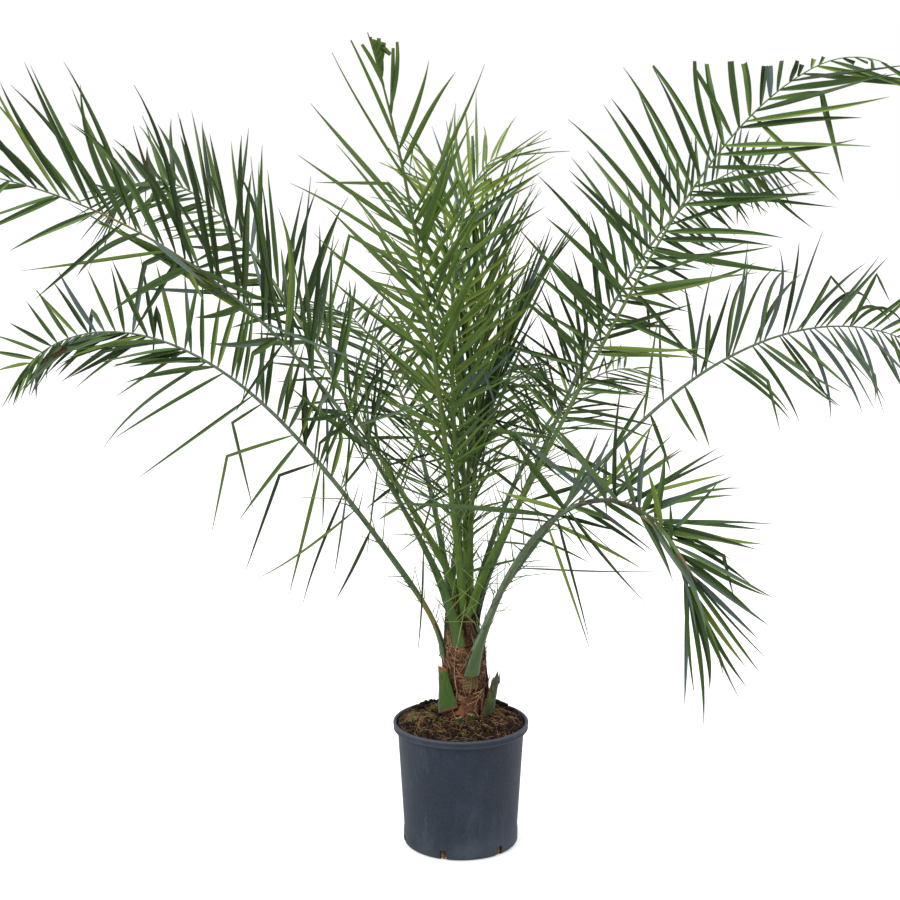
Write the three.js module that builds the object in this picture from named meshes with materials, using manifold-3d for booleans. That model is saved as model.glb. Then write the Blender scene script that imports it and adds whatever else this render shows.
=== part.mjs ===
// A young date palm in a round nursery pot: pot, root ball, trunk, cut leaf bases, and fronds.
// Millimetres, +Z up. The origin is at the centre of the pot's flat underside, and +Y is to the back.
import * as THREE from "three";
import { mergeVertices } from "three/addons/utils/BufferGeometryUtils.js";
import Module from "manifold-3d";

const wasm = await Module();
wasm.setup();

// ---- driving dimensions ----

const GAP = 0.35; // clear space between neighbours that touch on the real plant
const POT = {
  height: 280,
  baseRadius: 127,
  shoulderRadius: 140, // of the wall just under the rim band
  rimRadius: 150,
  rimHeight: 27,
  wall: 3,
  floor: 4,
  corner: 9, // rounding of the lower edge
  sides: 48,
  foot: { height: 34, proud: 1.5 }, // the wall stands out a little near the floor
  slots: { count: 6, firstAzimuth: 252, width: 15, height: 22, depth: 16 },
};
const SOIL = { wallHeight: 270, moundHeight: 294, moundRadius: 64, sides: 32 };
const TRUNK = {
  bottom: SOIL.moundHeight + GAP,
  top: 500,
  footRadius: 50,
  waistRadius: 45,
  topRadius: 34,
  flareHeight: 30,
  lean: [5, -4], // how far the top stands from the foot, to the right and to the back
  sides: 16,
  rings: 8,
};
const RACHIS_STEPS = 64;
const PETIOLE = { sides: 6, rings: 9, endRadius: 4.5, flare: 0.16 };
const BLADE = { rings: 9, edge: 1.6, fold: 14 };

// One row for each frond. base: azimuth, distance from the trunk's axis and height of its foot.
// Angles are in degrees: azimuth is 0 to the right, 90 to the back, 180 to the left, 270 to the front.
// lean is the angle from upright, arch what is added to it by the tip, and bend how late it comes.
// sweep turns the azimuth by the tip, and roll turns the blade's upper face about the rib, foot and tip.
// leafy is where the leaflets begin, as a share of the length, half is the blade's half width, reach is
// how far the last leaflets stand past the rib's end, and split is where a blade that bends is parted.
const FRONDS = [
  { name: "upper_left_front", base: [255, 33, 470], azimuth: 208, length: 1554, lean: 25, arch: 56.5,
    bend: 1.62, sweep: 0.6, roll: [-60, -62], thick: 11, leafy: 0.3, half: 200, reach: 110,
    split: 0.66 },
  { name: "upper_left_back", base: [75, 32, 480], azimuth: 152, length: 1566, lean: 37, arch: 110,
    bend: 5.4, sweep: -15, roll: [-40, -50], thick: 9, leafy: 0.3, half: 175, reach: 80,
    split: 0.72 },
  { name: "left_low", base: [203, 39, 428], azimuth: 186, length: 1276, lean: 34.6, arch: 106,
    bend: 3.5, sweep: -14, roll: [-60, -75], thick: 10, leafy: 0.32, half: 190, reach: 80,
    split: 0.7 },
  { name: "tall_front", base: [289, 21, 496], azimuth: 246, length: 1344, lean: 14.7, arch: 22.7,
    bend: 2.8, sweep: 1, roll: [0, 0], thick: 9, leafy: 0.26, half: 195, reach: 30,
    split: 0.62 },
  { name: "tall_back_left", base: [40, 20, 496], azimuth: 98, length: 1125, lean: 5.6, arch: 41,
    bend: 0.95, sweep: 0, roll: [0, 10], thick: 8, leafy: 0.3, half: 130, reach: 150,
    split: 0 },
  { name: "tall_back_right", base: [88, 24, 496], azimuth: 74, length: 1106, lean: -8, arch: 89,
    bend: 4.4, sweep: -15, roll: [0, 20], thick: 8, leafy: 0.3, half: 120, reach: 80,
    split: 0.75 },
  { name: "closed_spear", base: [344, 22, 496], azimuth: 40, length: 823, lean: -4.3, arch: 48,
    bend: 1.5, sweep: 0, roll: [40, 40], thick: 8, leafy: 0.3, half: 26, reach: 80,
    split: 0 },
  { name: "centre", base: [0, 8, 496], azimuth: 62, length: 905, lean: 1, arch: 14,
    bend: 1.4, sweep: 0, roll: [10, 20], thick: 8, leafy: 0.24, half: 55, reach: 110,
    split: 0 },
  { name: "upper_right_front", base: [294, 33, 480], azimuth: 348, length: 1582, lean: 26.4, arch: 66.7,
    bend: 6, sweep: 14.6, roll: [60, 72], thick: 10, leafy: 0.27, half: 170, reach: 110,
    split: 0.62 },
  { name: "upper_right_back", base: [22, 33, 480], azimuth: 24, length: 1390, lean: 26.8, arch: 73,
    bend: 4, sweep: 11, roll: [50, 60], thick: 9, leafy: 0.3, half: 190, reach: 80,
    split: 0.7 },
  { name: "right_low", base: [352, 39, 440], azimuth: 8, length: 1392, lean: 36.2, arch: 94,
    bend: 2.6, sweep: 6, roll: [55, 70], thick: 10, leafy: 0.3, half: 190, reach: 90,
    split: 0.68 },
  { name: "drooping_right", base: [304, 42, 350], azimuth: 326, length: 931, lean: 17.6, arch: 156,
    bend: 2.3, sweep: -15, roll: [20, 40], thick: 14, leafy: 0.42, half: 150, reach: 200,
    split: 0.74 },
  { name: "short_right", base: [52, 33, 486], azimuth: 48, length: 851, lean: 26, arch: 77,
    bend: 2.2, sweep: -2, roll: [30, 40], thick: 8, leafy: 0.5, half: 110, reach: 100,
    split: 0 },
  { name: "back_left", base: [120, 33, 470], azimuth: 112, length: 1050, lean: 24, arch: 70,
    bend: 1.8, sweep: 6, roll: [0, -10], thick: 9, leafy: 0.3, half: 150, reach: 80,
    split: 0.64 },
  { name: "back_right", base: [150, 33, 450], azimuth: 80, length: 960, lean: 30, arch: 74,
    bend: 1.9, sweep: -8, roll: [0, 10], thick: 9, leafy: 0.3, half: 150, reach: 80,
    split: 0.64 },
];

// What is left of old fronds: azimuth and distance of the foot, lean outwards, and size.
const STUBS = [
  { name: "stub_left", azimuth: 232, distance: 52, foot: 296, height: 112, lean: 3, width: 52, thick: 16 },
  { name: "stub_right", azimuth: 346, distance: 52, foot: 296, height: 88, lean: 15, width: 30, thick: 14 },
  { name: "stub_front", azimuth: 272, distance: 53, foot: 296, height: 26, lean: 12, width: 34, thick: 12 },
  { name: "stub_front_right", azimuth: 312, distance: 53, foot: 296, height: 32, lean: 14, width: 30,
    thick: 12 },
  { name: "stub_back", azimuth: 110, distance: 52, foot: 296, height: 60, lean: 10, width: 36, thick: 14 },
];

// ---- small helpers ----

const rad = THREE.MathUtils.degToRad;
const clamp01 = (x) => Math.min(Math.max(x, 0), 1);
const polar = (azimuth, distance, z) =>
  new THREE.Vector3(distance * Math.cos(rad(azimuth)), distance * Math.sin(rad(azimuth)), z);

// A closed solid from a three.js geometry, with its shared corners merged and empty triangles dropped.
function solidOf(geometry) {
  const bare = geometry.clone();
  bare.deleteAttribute("normal");
  bare.deleteAttribute("uv");
  const merged = mergeVertices(bare, 1e-3);
  const corners = [];
  for (let i = 0; i < merged.index.count; i += 3) {
    const [a, b, c] = [0, 1, 2].map((k) => merged.index.getX(i + k));
    if (a !== b && b !== c && c !== a) corners.push(a, b, c);
  }
  const vertProperties = new Float32Array(merged.attributes.position.array);
  return new wasm.Manifold(new wasm.Mesh({ numProp: 3, vertProperties, triVerts: new Uint32Array(corners) }));
}

// A closed skin over rings of points. Each ring runs across its top and back along its underside.
function loft(rings) {
  const n = rings[0].length;
  const points = rings.flat();
  const corners = [];
  for (let r = 0; r + 1 < rings.length; r++) {
    for (let i = 0; i < n; i++) {
      const [a, b] = [r * n + i, r * n + ((i + 1) % n)];
      corners.push(a, a + n, b, b, a + n, b + n);
    }
  }
  const last = (rings.length - 1) * n;
  for (let i = 0; i + 1 < n / 2; i++) {
    const cap = [i, i + 1, n - 1 - i, i + 1, n - 2 - i, n - 1 - i];
    corners.push(...cap, ...cap.map((k) => last + k).reverse());
  }
  const geometry = new THREE.BufferGeometry().setFromPoints(points);
  geometry.setIndex(corners);
  return solidOf(geometry);
}

const biggest = (solid) => solid.decompose().sort((a, b) => b.volume() - a.volume())[0];

// ---- pot and root ball ----

const potRadiusAt = (z) =>
  THREE.MathUtils.mapLinear(z, 0, POT.height, POT.baseRadius, POT.shoulderRadius + 1);

function potSolid() {
  const band = POT.height - POT.rimHeight;
  const outer = new THREE.Path().moveTo(0, 0).lineTo(POT.baseRadius - POT.corner, 0);
  const foot = potRadiusAt(POT.foot.height) + POT.foot.proud;
  outer.quadraticCurveTo(foot, 0, foot, POT.corner).lineTo(foot, POT.foot.height - 4);
  outer.lineTo(potRadiusAt(POT.foot.height + 4), POT.foot.height + 4);
  outer.lineTo(POT.shoulderRadius, band);
  outer.quadraticCurveTo(POT.rimRadius, band + 3, POT.rimRadius, POT.height - 13);
  outer.quadraticCurveTo(POT.rimRadius, POT.height, POT.rimRadius - 6, POT.height);
  outer.quadraticCurveTo(POT.rimRadius - 11, POT.height, POT.rimRadius - 11, POT.height - 6);
  outer.lineTo(potRadiusAt(POT.floor) - POT.wall, POT.floor).lineTo(0, POT.floor);
  const profile = outer.getPoints(3);
  let pot = solidOf(new THREE.LatheGeometry(profile, POT.sides).rotateX(Math.PI / 2));
  for (let i = 0; i < POT.slots.count; i++) {
    const { width, height, depth, firstAzimuth, count } = POT.slots;
    const slot = new THREE.BoxGeometry(depth, width, height * 2);
    slot.translate(POT.baseRadius - 1, 0, 0).rotateZ(rad(firstAzimuth + (i * 360) / count));
    pot = pot.subtract(solidOf(slot));
  }
  return pot;
}

function soilSolid() {
  const inside = (z) => THREE.MathUtils.mapLinear(z, POT.floor, POT.height, potRadiusAt(POT.floor),
    POT.rimRadius - 8) - POT.wall - GAP;
  const profile = [new THREE.Vector2(0, POT.floor + GAP), new THREE.Vector2(inside(0) - 8, POT.floor + GAP)];
  profile.push(new THREE.Vector2(inside(SOIL.wallHeight) - 1, SOIL.wallHeight));
  for (const share of [0.25, 0.6, 1]) {
    const radius = THREE.MathUtils.lerp(inside(SOIL.wallHeight) - 1, SOIL.moundRadius, share);
    const rise = Math.sin((share * Math.PI) / 2);
    profile.push(new THREE.Vector2(radius, THREE.MathUtils.lerp(SOIL.wallHeight, SOIL.moundHeight, rise)));
  }
  profile.push(new THREE.Vector2(0, SOIL.moundHeight));
  return solidOf(new THREE.LatheGeometry(profile, SOIL.sides).rotateX(Math.PI / 2));
}

// ---- trunk and cut leaf bases ----

const trunkLean = (share) => new THREE.Vector3(TRUNK.lean[0] * share, TRUNK.lean[1] * share, 0);

function trunkRadiusAt(share) {
  const z = share * (TRUNK.top - TRUNK.bottom);
  const flare = (TRUNK.footRadius - TRUNK.waistRadius) * (1 - clamp01(z / TRUNK.flareHeight)) ** 2;
  const shoulder = clamp01((share - 0.55) / 0.45) ** 1.5;
  return THREE.MathUtils.lerp(TRUNK.waistRadius, TRUNK.topRadius, shoulder) + flare;
}

function trunkSolid(grow) {
  const rings = [];
  for (let r = 0; r <= TRUNK.rings; r++) {
    const share = r / TRUNK.rings;
    const end = r === 0 ? -grow : r === TRUNK.rings ? grow : 0;
    const z = THREE.MathUtils.lerp(TRUNK.bottom, TRUNK.top, share) + end;
    const ring = [];
    for (let i = 0; i < TRUNK.sides; i++) {
      const azimuth = (-i * 360) / TRUNK.sides;
      ring.push(polar(azimuth, trunkRadiusAt(share) + grow, z).add(trunkLean(share)));
    }
    rings.push(ring);
  }
  return loft(rings);
}

// A slab that narrows towards its slanted cut, leaning out from the trunk.
function stubSolid(stub, grow) {
  const out = polar(stub.azimuth, 1, 0);
  const across = polar(stub.azimuth + 90, 1, 0);
  const rings = [0, 0.5, 1].map((share) => {
    const along = share * stub.height + (share === 1 ? grow : -grow * (1 - share));
    const middle = polar(stub.azimuth, stub.distance + Math.tan(rad(stub.lean)) * along, stub.foot + along);
    const half = (stub.width / 2) * (1 - 0.35 * share) + grow;
    const thick = (stub.thick / 2) * (1 - 0.25 * share) + grow;
    const ring = [];
    for (let i = 0; i < 8; i++) {
      const turn = rad(-i * 45 - 22.5);
      const side = half * Math.cos(turn);
      const cut = share === 1 ? side * 0.5 : 0;
      const point = middle.clone().addScaledVector(across, side).addScaledVector(out, thick * Math.sin(turn));
      ring.push(point.add(new THREE.Vector3(0, 0, cut)));
    }
    return ring.reverse();
  });
  return loft(rings);
}

// ---- fronds ----

// The frond's rib: its place and its directions at each step from the foot to the tip.
function ribOf(frond) {
  const [azimuth, distance, height] = frond.base;
  const place = polar(azimuth, distance, height);
  const stations = [];
  for (let i = 0; i < RACHIS_STEPS; i++) {
    const s = (i + 0.5) / RACHIS_STEPS;
    const rise = 1 - (1 - Math.min(s / PETIOLE.flare, 1)) ** 2;
    const tilt = rad(4 + (frond.lean - 4) * rise + frond.arch * s ** frond.bend);
    const heading = frond.azimuth + frond.sweep * s;
    const along = polar(heading, Math.sin(tilt), Math.cos(tilt));
    const up = polar(heading, -Math.cos(tilt), Math.sin(tilt));
    const side = along.clone().cross(up);
    const roll = rad(THREE.MathUtils.lerp(frond.roll[0], frond.roll[1], s));
    const face = up.clone().multiplyScalar(Math.cos(roll)).addScaledVector(side, Math.sin(roll));
    stations.push({ place: place.clone(), along, face, side: along.clone().cross(face) });
    place.addScaledVector(along, frond.length / RACHIS_STEPS);
  }
  stations.push({ ...stations[RACHIS_STEPS - 1], place });
  return stations;
}

function stationAt(rib, share) {
  const at = clamp01(share) * RACHIS_STEPS;
  const i = Math.min(Math.floor(at), RACHIS_STEPS - 1);
  const mixed = (key) => rib[i][key].clone().lerp(rib[i + 1][key], at - i);
  return { place: mixed("place"), along: mixed("along").normalize(), face: mixed("face").normalize(),
    side: mixed("side").normalize() };
}

// The stalk from the trunk to the first leaflets: a six-sided limb that tapers.
function petioleSolid(frond, rib, grow) {
  const rings = [];
  for (let r = 0; r <= PETIOLE.rings; r++) {
    const share = r / PETIOLE.rings;
    const { place, face, side, along } = stationAt(rib, share * frond.leafy);
    const radius = THREE.MathUtils.lerp(frond.thick, PETIOLE.endRadius, Math.sqrt(share)) + grow;
    if (r === PETIOLE.rings) place.addScaledVector(along, grow);
    const ring = [];
    for (let i = 0; i < PETIOLE.sides; i++) {
      const turn = rad((-i * 360) / PETIOLE.sides - 90);
      ring.push(place.clone().addScaledVector(side, radius * Math.sin(turn))
        .addScaledVector(face, radius * 0.8 * Math.cos(turn)));
    }
    rings.push(ring);
  }
  return loft(rings);
}

// Where a blade ends, as a share of the rib's length.
const endOf = (frond) => 1 + frond.reach / frond.length;

// The half width of the leafy part: quickly wide, then narrowing to the tip.
function halfWidth(frond, share) {
  const open = 1 - 0.8 * (1 - clamp01(share / 0.28)) ** 1.6;
  const close = (1 - share ** 2.6) ** 0.75;
  return Math.max(frond.half * open * close, 7);
}

// How sharply the rib turns at a share of its length, in radians for each millimetre.
function turnRate(frond, rib, share) {
  const step = 1.5 / RACHIS_STEPS;
  const [before, after] = [stationAt(rib, share - step), stationAt(rib, share + step)];
  return before.along.angleTo(after.along) / (2 * step * frond.length);
}

// A thin blade over the leafy part, folded along its rib like a shallow V.
function bladeSolid(frond, rib, from, to, grow) {
  const rings = [];
  for (let r = 0; r <= BLADE.rings; r++) {
    const s = THREE.MathUtils.lerp(from, to, r / BLADE.rings);
    const station = stationAt(rib, s);
    const past = Math.max(s - 1, 0) * frond.length;
    const end = r === 0 ? GAP - grow : r === BLADE.rings ? grow : 0;
    station.place.addScaledVector(station.along, past + end);
    const share = (s - frond.leafy) / (endOf(frond) - frond.leafy);
    const bent = Math.max(turnRate(frond, rib, Math.min(s, 1)), 1e-6);
    const half = Math.min(halfWidth(frond, share), 0.7 / bent) + grow;
    const ribHalf = THREE.MathUtils.lerp(PETIOLE.endRadius * 0.8, 1.6, clamp01(share)) + grow;
    const edge = BLADE.edge / 2 + grow;
    const lift = half * Math.tan(rad(BLADE.fold));
    const at = (across, height) => station.place.clone().addScaledVector(station.side, across)
      .addScaledVector(station.face, height);
    rings.push([at(half, lift + edge), at(0, ribHalf), at(-half, lift + edge),
      at(-half, lift - edge), at(0, -ribHalf), at(half, lift - edge)]);
  }
  return loft(rings);
}

// Each frond as named pieces: petiole, blade, and past its bend a tip.
function frondPieces(frond) {
  const rib = ribOf(frond);
  const last = endOf(frond);
  const joint = frond.split || last;
  const blade = (from, to) => (grow) => bladeSolid(frond, rib, from, to, grow);
  const pieces = [
    { name: `petiole_${frond.name}`, finish: "petiole", make: (grow) => petioleSolid(frond, rib, grow) },
    { name: `blade_${frond.name}`, finish: "blade", make: blade(frond.leafy, joint) },
  ];
  if (frond.split) pieces.push({ name: `tip_${frond.name}`, finish: "blade", make: blade(joint, last) });
  return pieces;
}

// ---- assembly ----

const FINISHES = {
  pot: { color: 0x3f4650, roughness: 0.62, metalness: 0 },
  soil: { color: 0x38281e, roughness: 0.95, metalness: 0 },
  trunk: { color: 0x6a4630, roughness: 0.9, metalness: 0 },
  stub: { color: 0x4f7a3c, roughness: 0.6, metalness: 0 },
  petiole: { color: 0x7d9a48, roughness: 0.5, metalness: 0 },
  blade: { color: 0x4a7a34, roughness: 0.55, metalness: 0 },
};

const plant = new THREE.Group();

function addPiece(name, finish, solid) {
  const mesh = solid.getMesh();
  const geometry = new THREE.BufferGeometry();
  const position = [];
  for (let i = 0; i < mesh.vertProperties.length; i += mesh.numProp) {
    position.push(...mesh.vertProperties.slice(i, i + 3));
  }
  geometry.setAttribute("position", new THREE.Float32BufferAttribute(position, 3));
  geometry.setIndex([...mesh.triVerts]);
  geometry.computeVertexNormals();
  const piece = new THREE.Mesh(geometry, new THREE.MeshStandardMaterial(FINISHES[finish]));
  piece.name = name;
  plant.add(piece);
}

addPiece("pot", "pot", potSolid());
addPiece("soil", "soil", soilSolid());
addPiece("trunk", "trunk", trunkSolid(0));

// Every later piece is cut back by the grown shapes of what was placed before it.
const placed = [trunkSolid(GAP)];
const near = (a, b) => {
  const [p, q] = [a.boundingBox(), b.boundingBox()];
  return [0, 1, 2].every((k) => p.min[k] <= q.max[k] && q.min[k] <= p.max[k]);
};

function place(name, finish, make) {
  let solid = make(0);
  for (const other of placed) {
    if (near(solid, other)) solid = solid.subtract(other);
  }
  addPiece(name, finish, biggest(solid));
  placed.push(make(GAP));
}

for (const stub of STUBS) place(stub.name, "stub", (grow) => stubSolid(stub, grow));
const pieces = FRONDS.flatMap(frondPieces);
for (const finish of ["petiole", "blade"]) {
  for (const piece of pieces.filter((p) => p.finish === finish)) place(piece.name, finish, piece.make);
}

export default plant;
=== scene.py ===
"""A young date palm in a round nursery pot: pot, soil, fibrous trunk, cut leaf bases and arching fronds.

The file is laid out as an add-on. Run as a script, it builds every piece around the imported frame.
Metres, +Z up. +X is to the right, +Y to the back, and the pot stands on z = 0.
"""

import math

import bmesh
import bpy
import numpy as np
from bpy.props import FloatProperty, FloatVectorProperty, IntProperty, PointerProperty
from bpy.types import Operator, Panel, PropertyGroup
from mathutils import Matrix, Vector, noise


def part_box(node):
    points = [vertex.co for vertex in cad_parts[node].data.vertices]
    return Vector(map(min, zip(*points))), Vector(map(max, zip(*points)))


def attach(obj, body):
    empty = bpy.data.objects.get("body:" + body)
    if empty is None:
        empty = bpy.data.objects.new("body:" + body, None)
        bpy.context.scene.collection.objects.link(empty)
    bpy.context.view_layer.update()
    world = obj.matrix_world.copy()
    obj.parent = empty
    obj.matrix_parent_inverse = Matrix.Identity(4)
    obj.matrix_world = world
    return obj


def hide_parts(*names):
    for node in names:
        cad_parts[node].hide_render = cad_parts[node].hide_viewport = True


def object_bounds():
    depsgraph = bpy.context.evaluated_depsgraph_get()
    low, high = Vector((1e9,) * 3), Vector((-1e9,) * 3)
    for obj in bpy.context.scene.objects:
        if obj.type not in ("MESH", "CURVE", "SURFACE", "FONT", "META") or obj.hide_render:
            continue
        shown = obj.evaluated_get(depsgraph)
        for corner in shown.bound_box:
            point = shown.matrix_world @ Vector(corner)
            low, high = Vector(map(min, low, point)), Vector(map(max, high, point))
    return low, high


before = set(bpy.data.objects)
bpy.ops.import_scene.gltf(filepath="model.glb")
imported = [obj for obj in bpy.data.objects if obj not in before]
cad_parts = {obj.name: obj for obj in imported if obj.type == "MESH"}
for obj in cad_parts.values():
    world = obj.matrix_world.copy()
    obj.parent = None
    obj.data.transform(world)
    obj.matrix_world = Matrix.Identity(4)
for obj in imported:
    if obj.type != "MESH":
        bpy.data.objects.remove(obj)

CAD_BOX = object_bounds()

bl_info = {
    "name": "Potted date palm",
    "version": (1, 0, 0),
    "blender": (4, 5, 0),
    "location": "3D View > Sidebar > Date palm",
    "description": "Builds a young date palm in a nursery pot from its sizes and colours",
    "category": "Add Mesh",
}

RIM_RADIUS, _, POT_HEIGHT = (float(v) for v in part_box("pot")[1])
SOIL_TOP = float(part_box("soil")[1][2])
TRUNK_FOOT, TRUNK_TOP = (float(corner[2]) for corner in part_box("trunk"))

# ---- the plan of the palm ----
# One row for each frond, as in the frame. base: azimuth, distance from the trunk's axis, height.
# Angles in degrees. lean from upright at the foot, arch added by the tip, bend how late it comes,
# sweep turns the azimuth, roll turns the upper face about the rib at the foot and the tip, thick is
# the stalk's half width at the foot, leafy is where the leaflets begin, and start is where the stalk
# comes out of the fibre. push moves the foot, and fade says between which shares of the rib that dies
# away. nod bends the last tenth down, and a low taper keeps the leafy part stout.
FRONDS = {
    "upper_left_front": dict(
        base=(245, 0.034, 0.470), azimuth=208, length=1.554, lean=25, arch=56.5, bend=1.62,
        sweep=0.6, roll=(-60, -62), thick=0.0068, leafy=0.30, push=(0.010, -0.013, -0.008), fade=(0, 0.07)),
    "upper_left_back": dict(
        base=(75, 0.032, 0.480), azimuth=152, length=1.566, lean=37, arch=110, bend=5.4,
        sweep=-15, roll=(-40, -50), thick=0.007, leafy=0.30),
    "left_low": dict(
        base=(203, 0.039, 0.428), azimuth=186, length=1.276, lean=34.6, arch=106, bend=3.5,
        sweep=-14, roll=(-60, -75), thick=0.0072, leafy=0.32),
    "tall_front": dict(
        base=(289, 0.021, 0.496), azimuth=246, length=1.344, lean=14.7, arch=22.7, bend=2.8,
        sweep=1, roll=(0, 0), thick=0.0078, leafy=0.26, taper=0.75),
    "tall_back_left": dict(
        base=(40, 0.020, 0.496), azimuth=98, length=1.125, lean=5.6, arch=41, bend=0.95,
        sweep=0, roll=(0, 10), thick=0.0072, leafy=0.30),
    "tall_back_right": dict(
        base=(88, 0.024, 0.496), azimuth=74, length=1.106, lean=-8, arch=89, bend=4.4,
        sweep=-15, roll=(0, 20), thick=0.0072, leafy=0.30),
    "closed_spear": dict(
        base=(344, 0.022, 0.496), azimuth=40, length=0.823, lean=-4.3, arch=48, bend=1.5,
        sweep=0, roll=(40, 40), thick=0.0072, leafy=0.30),
    "centre": dict(
        base=(0, 0.008, 0.496), azimuth=62, length=0.905, lean=1, arch=14, bend=1.4,
        sweep=0, roll=(10, 20), thick=0.0072, leafy=0.24),
    "upper_right_front": dict(
        base=(294, 0.033, 0.480), azimuth=348, length=1.582, lean=26.4, arch=66.7, bend=6,
        sweep=14.6, roll=(60, 72), thick=0.0070, leafy=0.27, nod=22, taper=1.4),
    "upper_right_back": dict(
        base=(22, 0.033, 0.480), azimuth=24, length=1.390, lean=26.8, arch=73, bend=4,
        sweep=11, roll=(50, 60), thick=0.007, leafy=0.30),
    "right_low": dict(
        base=(352, 0.039, 0.440), azimuth=8, length=1.392, lean=36.2, arch=94, bend=2.6,
        sweep=6, roll=(55, 70), thick=0.0066, leafy=0.30),
    "drooping_right": dict(
        base=(304, 0.042, 0.350), azimuth=326, length=0.931, lean=17.6, arch=156, bend=2.3,
        sweep=-15, roll=(20, 40), thick=0.0112, leafy=0.42, start=0.055, push=(-0.0085, -0.012, 0)),
    "short_right": dict(
        base=(52, 0.033, 0.486), azimuth=48, length=0.851, lean=26, arch=77, bend=2.2,
        sweep=-2, roll=(30, 40), thick=0.006, leafy=0.50),
    "back_left": dict(
        base=(120, 0.033, 0.470), azimuth=112, length=1.050, lean=24, arch=70, bend=1.8,
        sweep=6, roll=(0, -10), thick=0.0075, leafy=0.30),
    "back_right": dict(
        base=(150, 0.033, 0.450), azimuth=80, length=0.960, lean=30, arch=74, bend=1.9,
        sweep=-8, roll=(0, 10), thick=0.0075, leafy=0.30),
}
SPLIT_BLADES = (
    "upper_left_front", "upper_left_back", "left_low", "tall_front", "tall_back_right",
    "upper_right_front", "upper_right_back", "right_low", "drooping_right", "back_left", "back_right",
)


def row(count, length, out, lifts=(-8, 13, 33), droop=0.05, kinks=0.04, limp=0.0, part=(0, 1), skew=1.0):
    """One side of a frond. length and out, the angle from the rib, are given at SPAN; lifts say how
    far the members of a cluster stand off the frond's plane; kinks is the share that is broken and
    limp the share that hangs in a bow; part is where on the leafy part of the rib the row stands, and
    a skew below 1 packs it closer towards the tip."""
    return dict(count=count, length=length, out=out, lifts=lifts, droop=droop, kinks=kinks, limp=limp,
                part=part, skew=skew)


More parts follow.
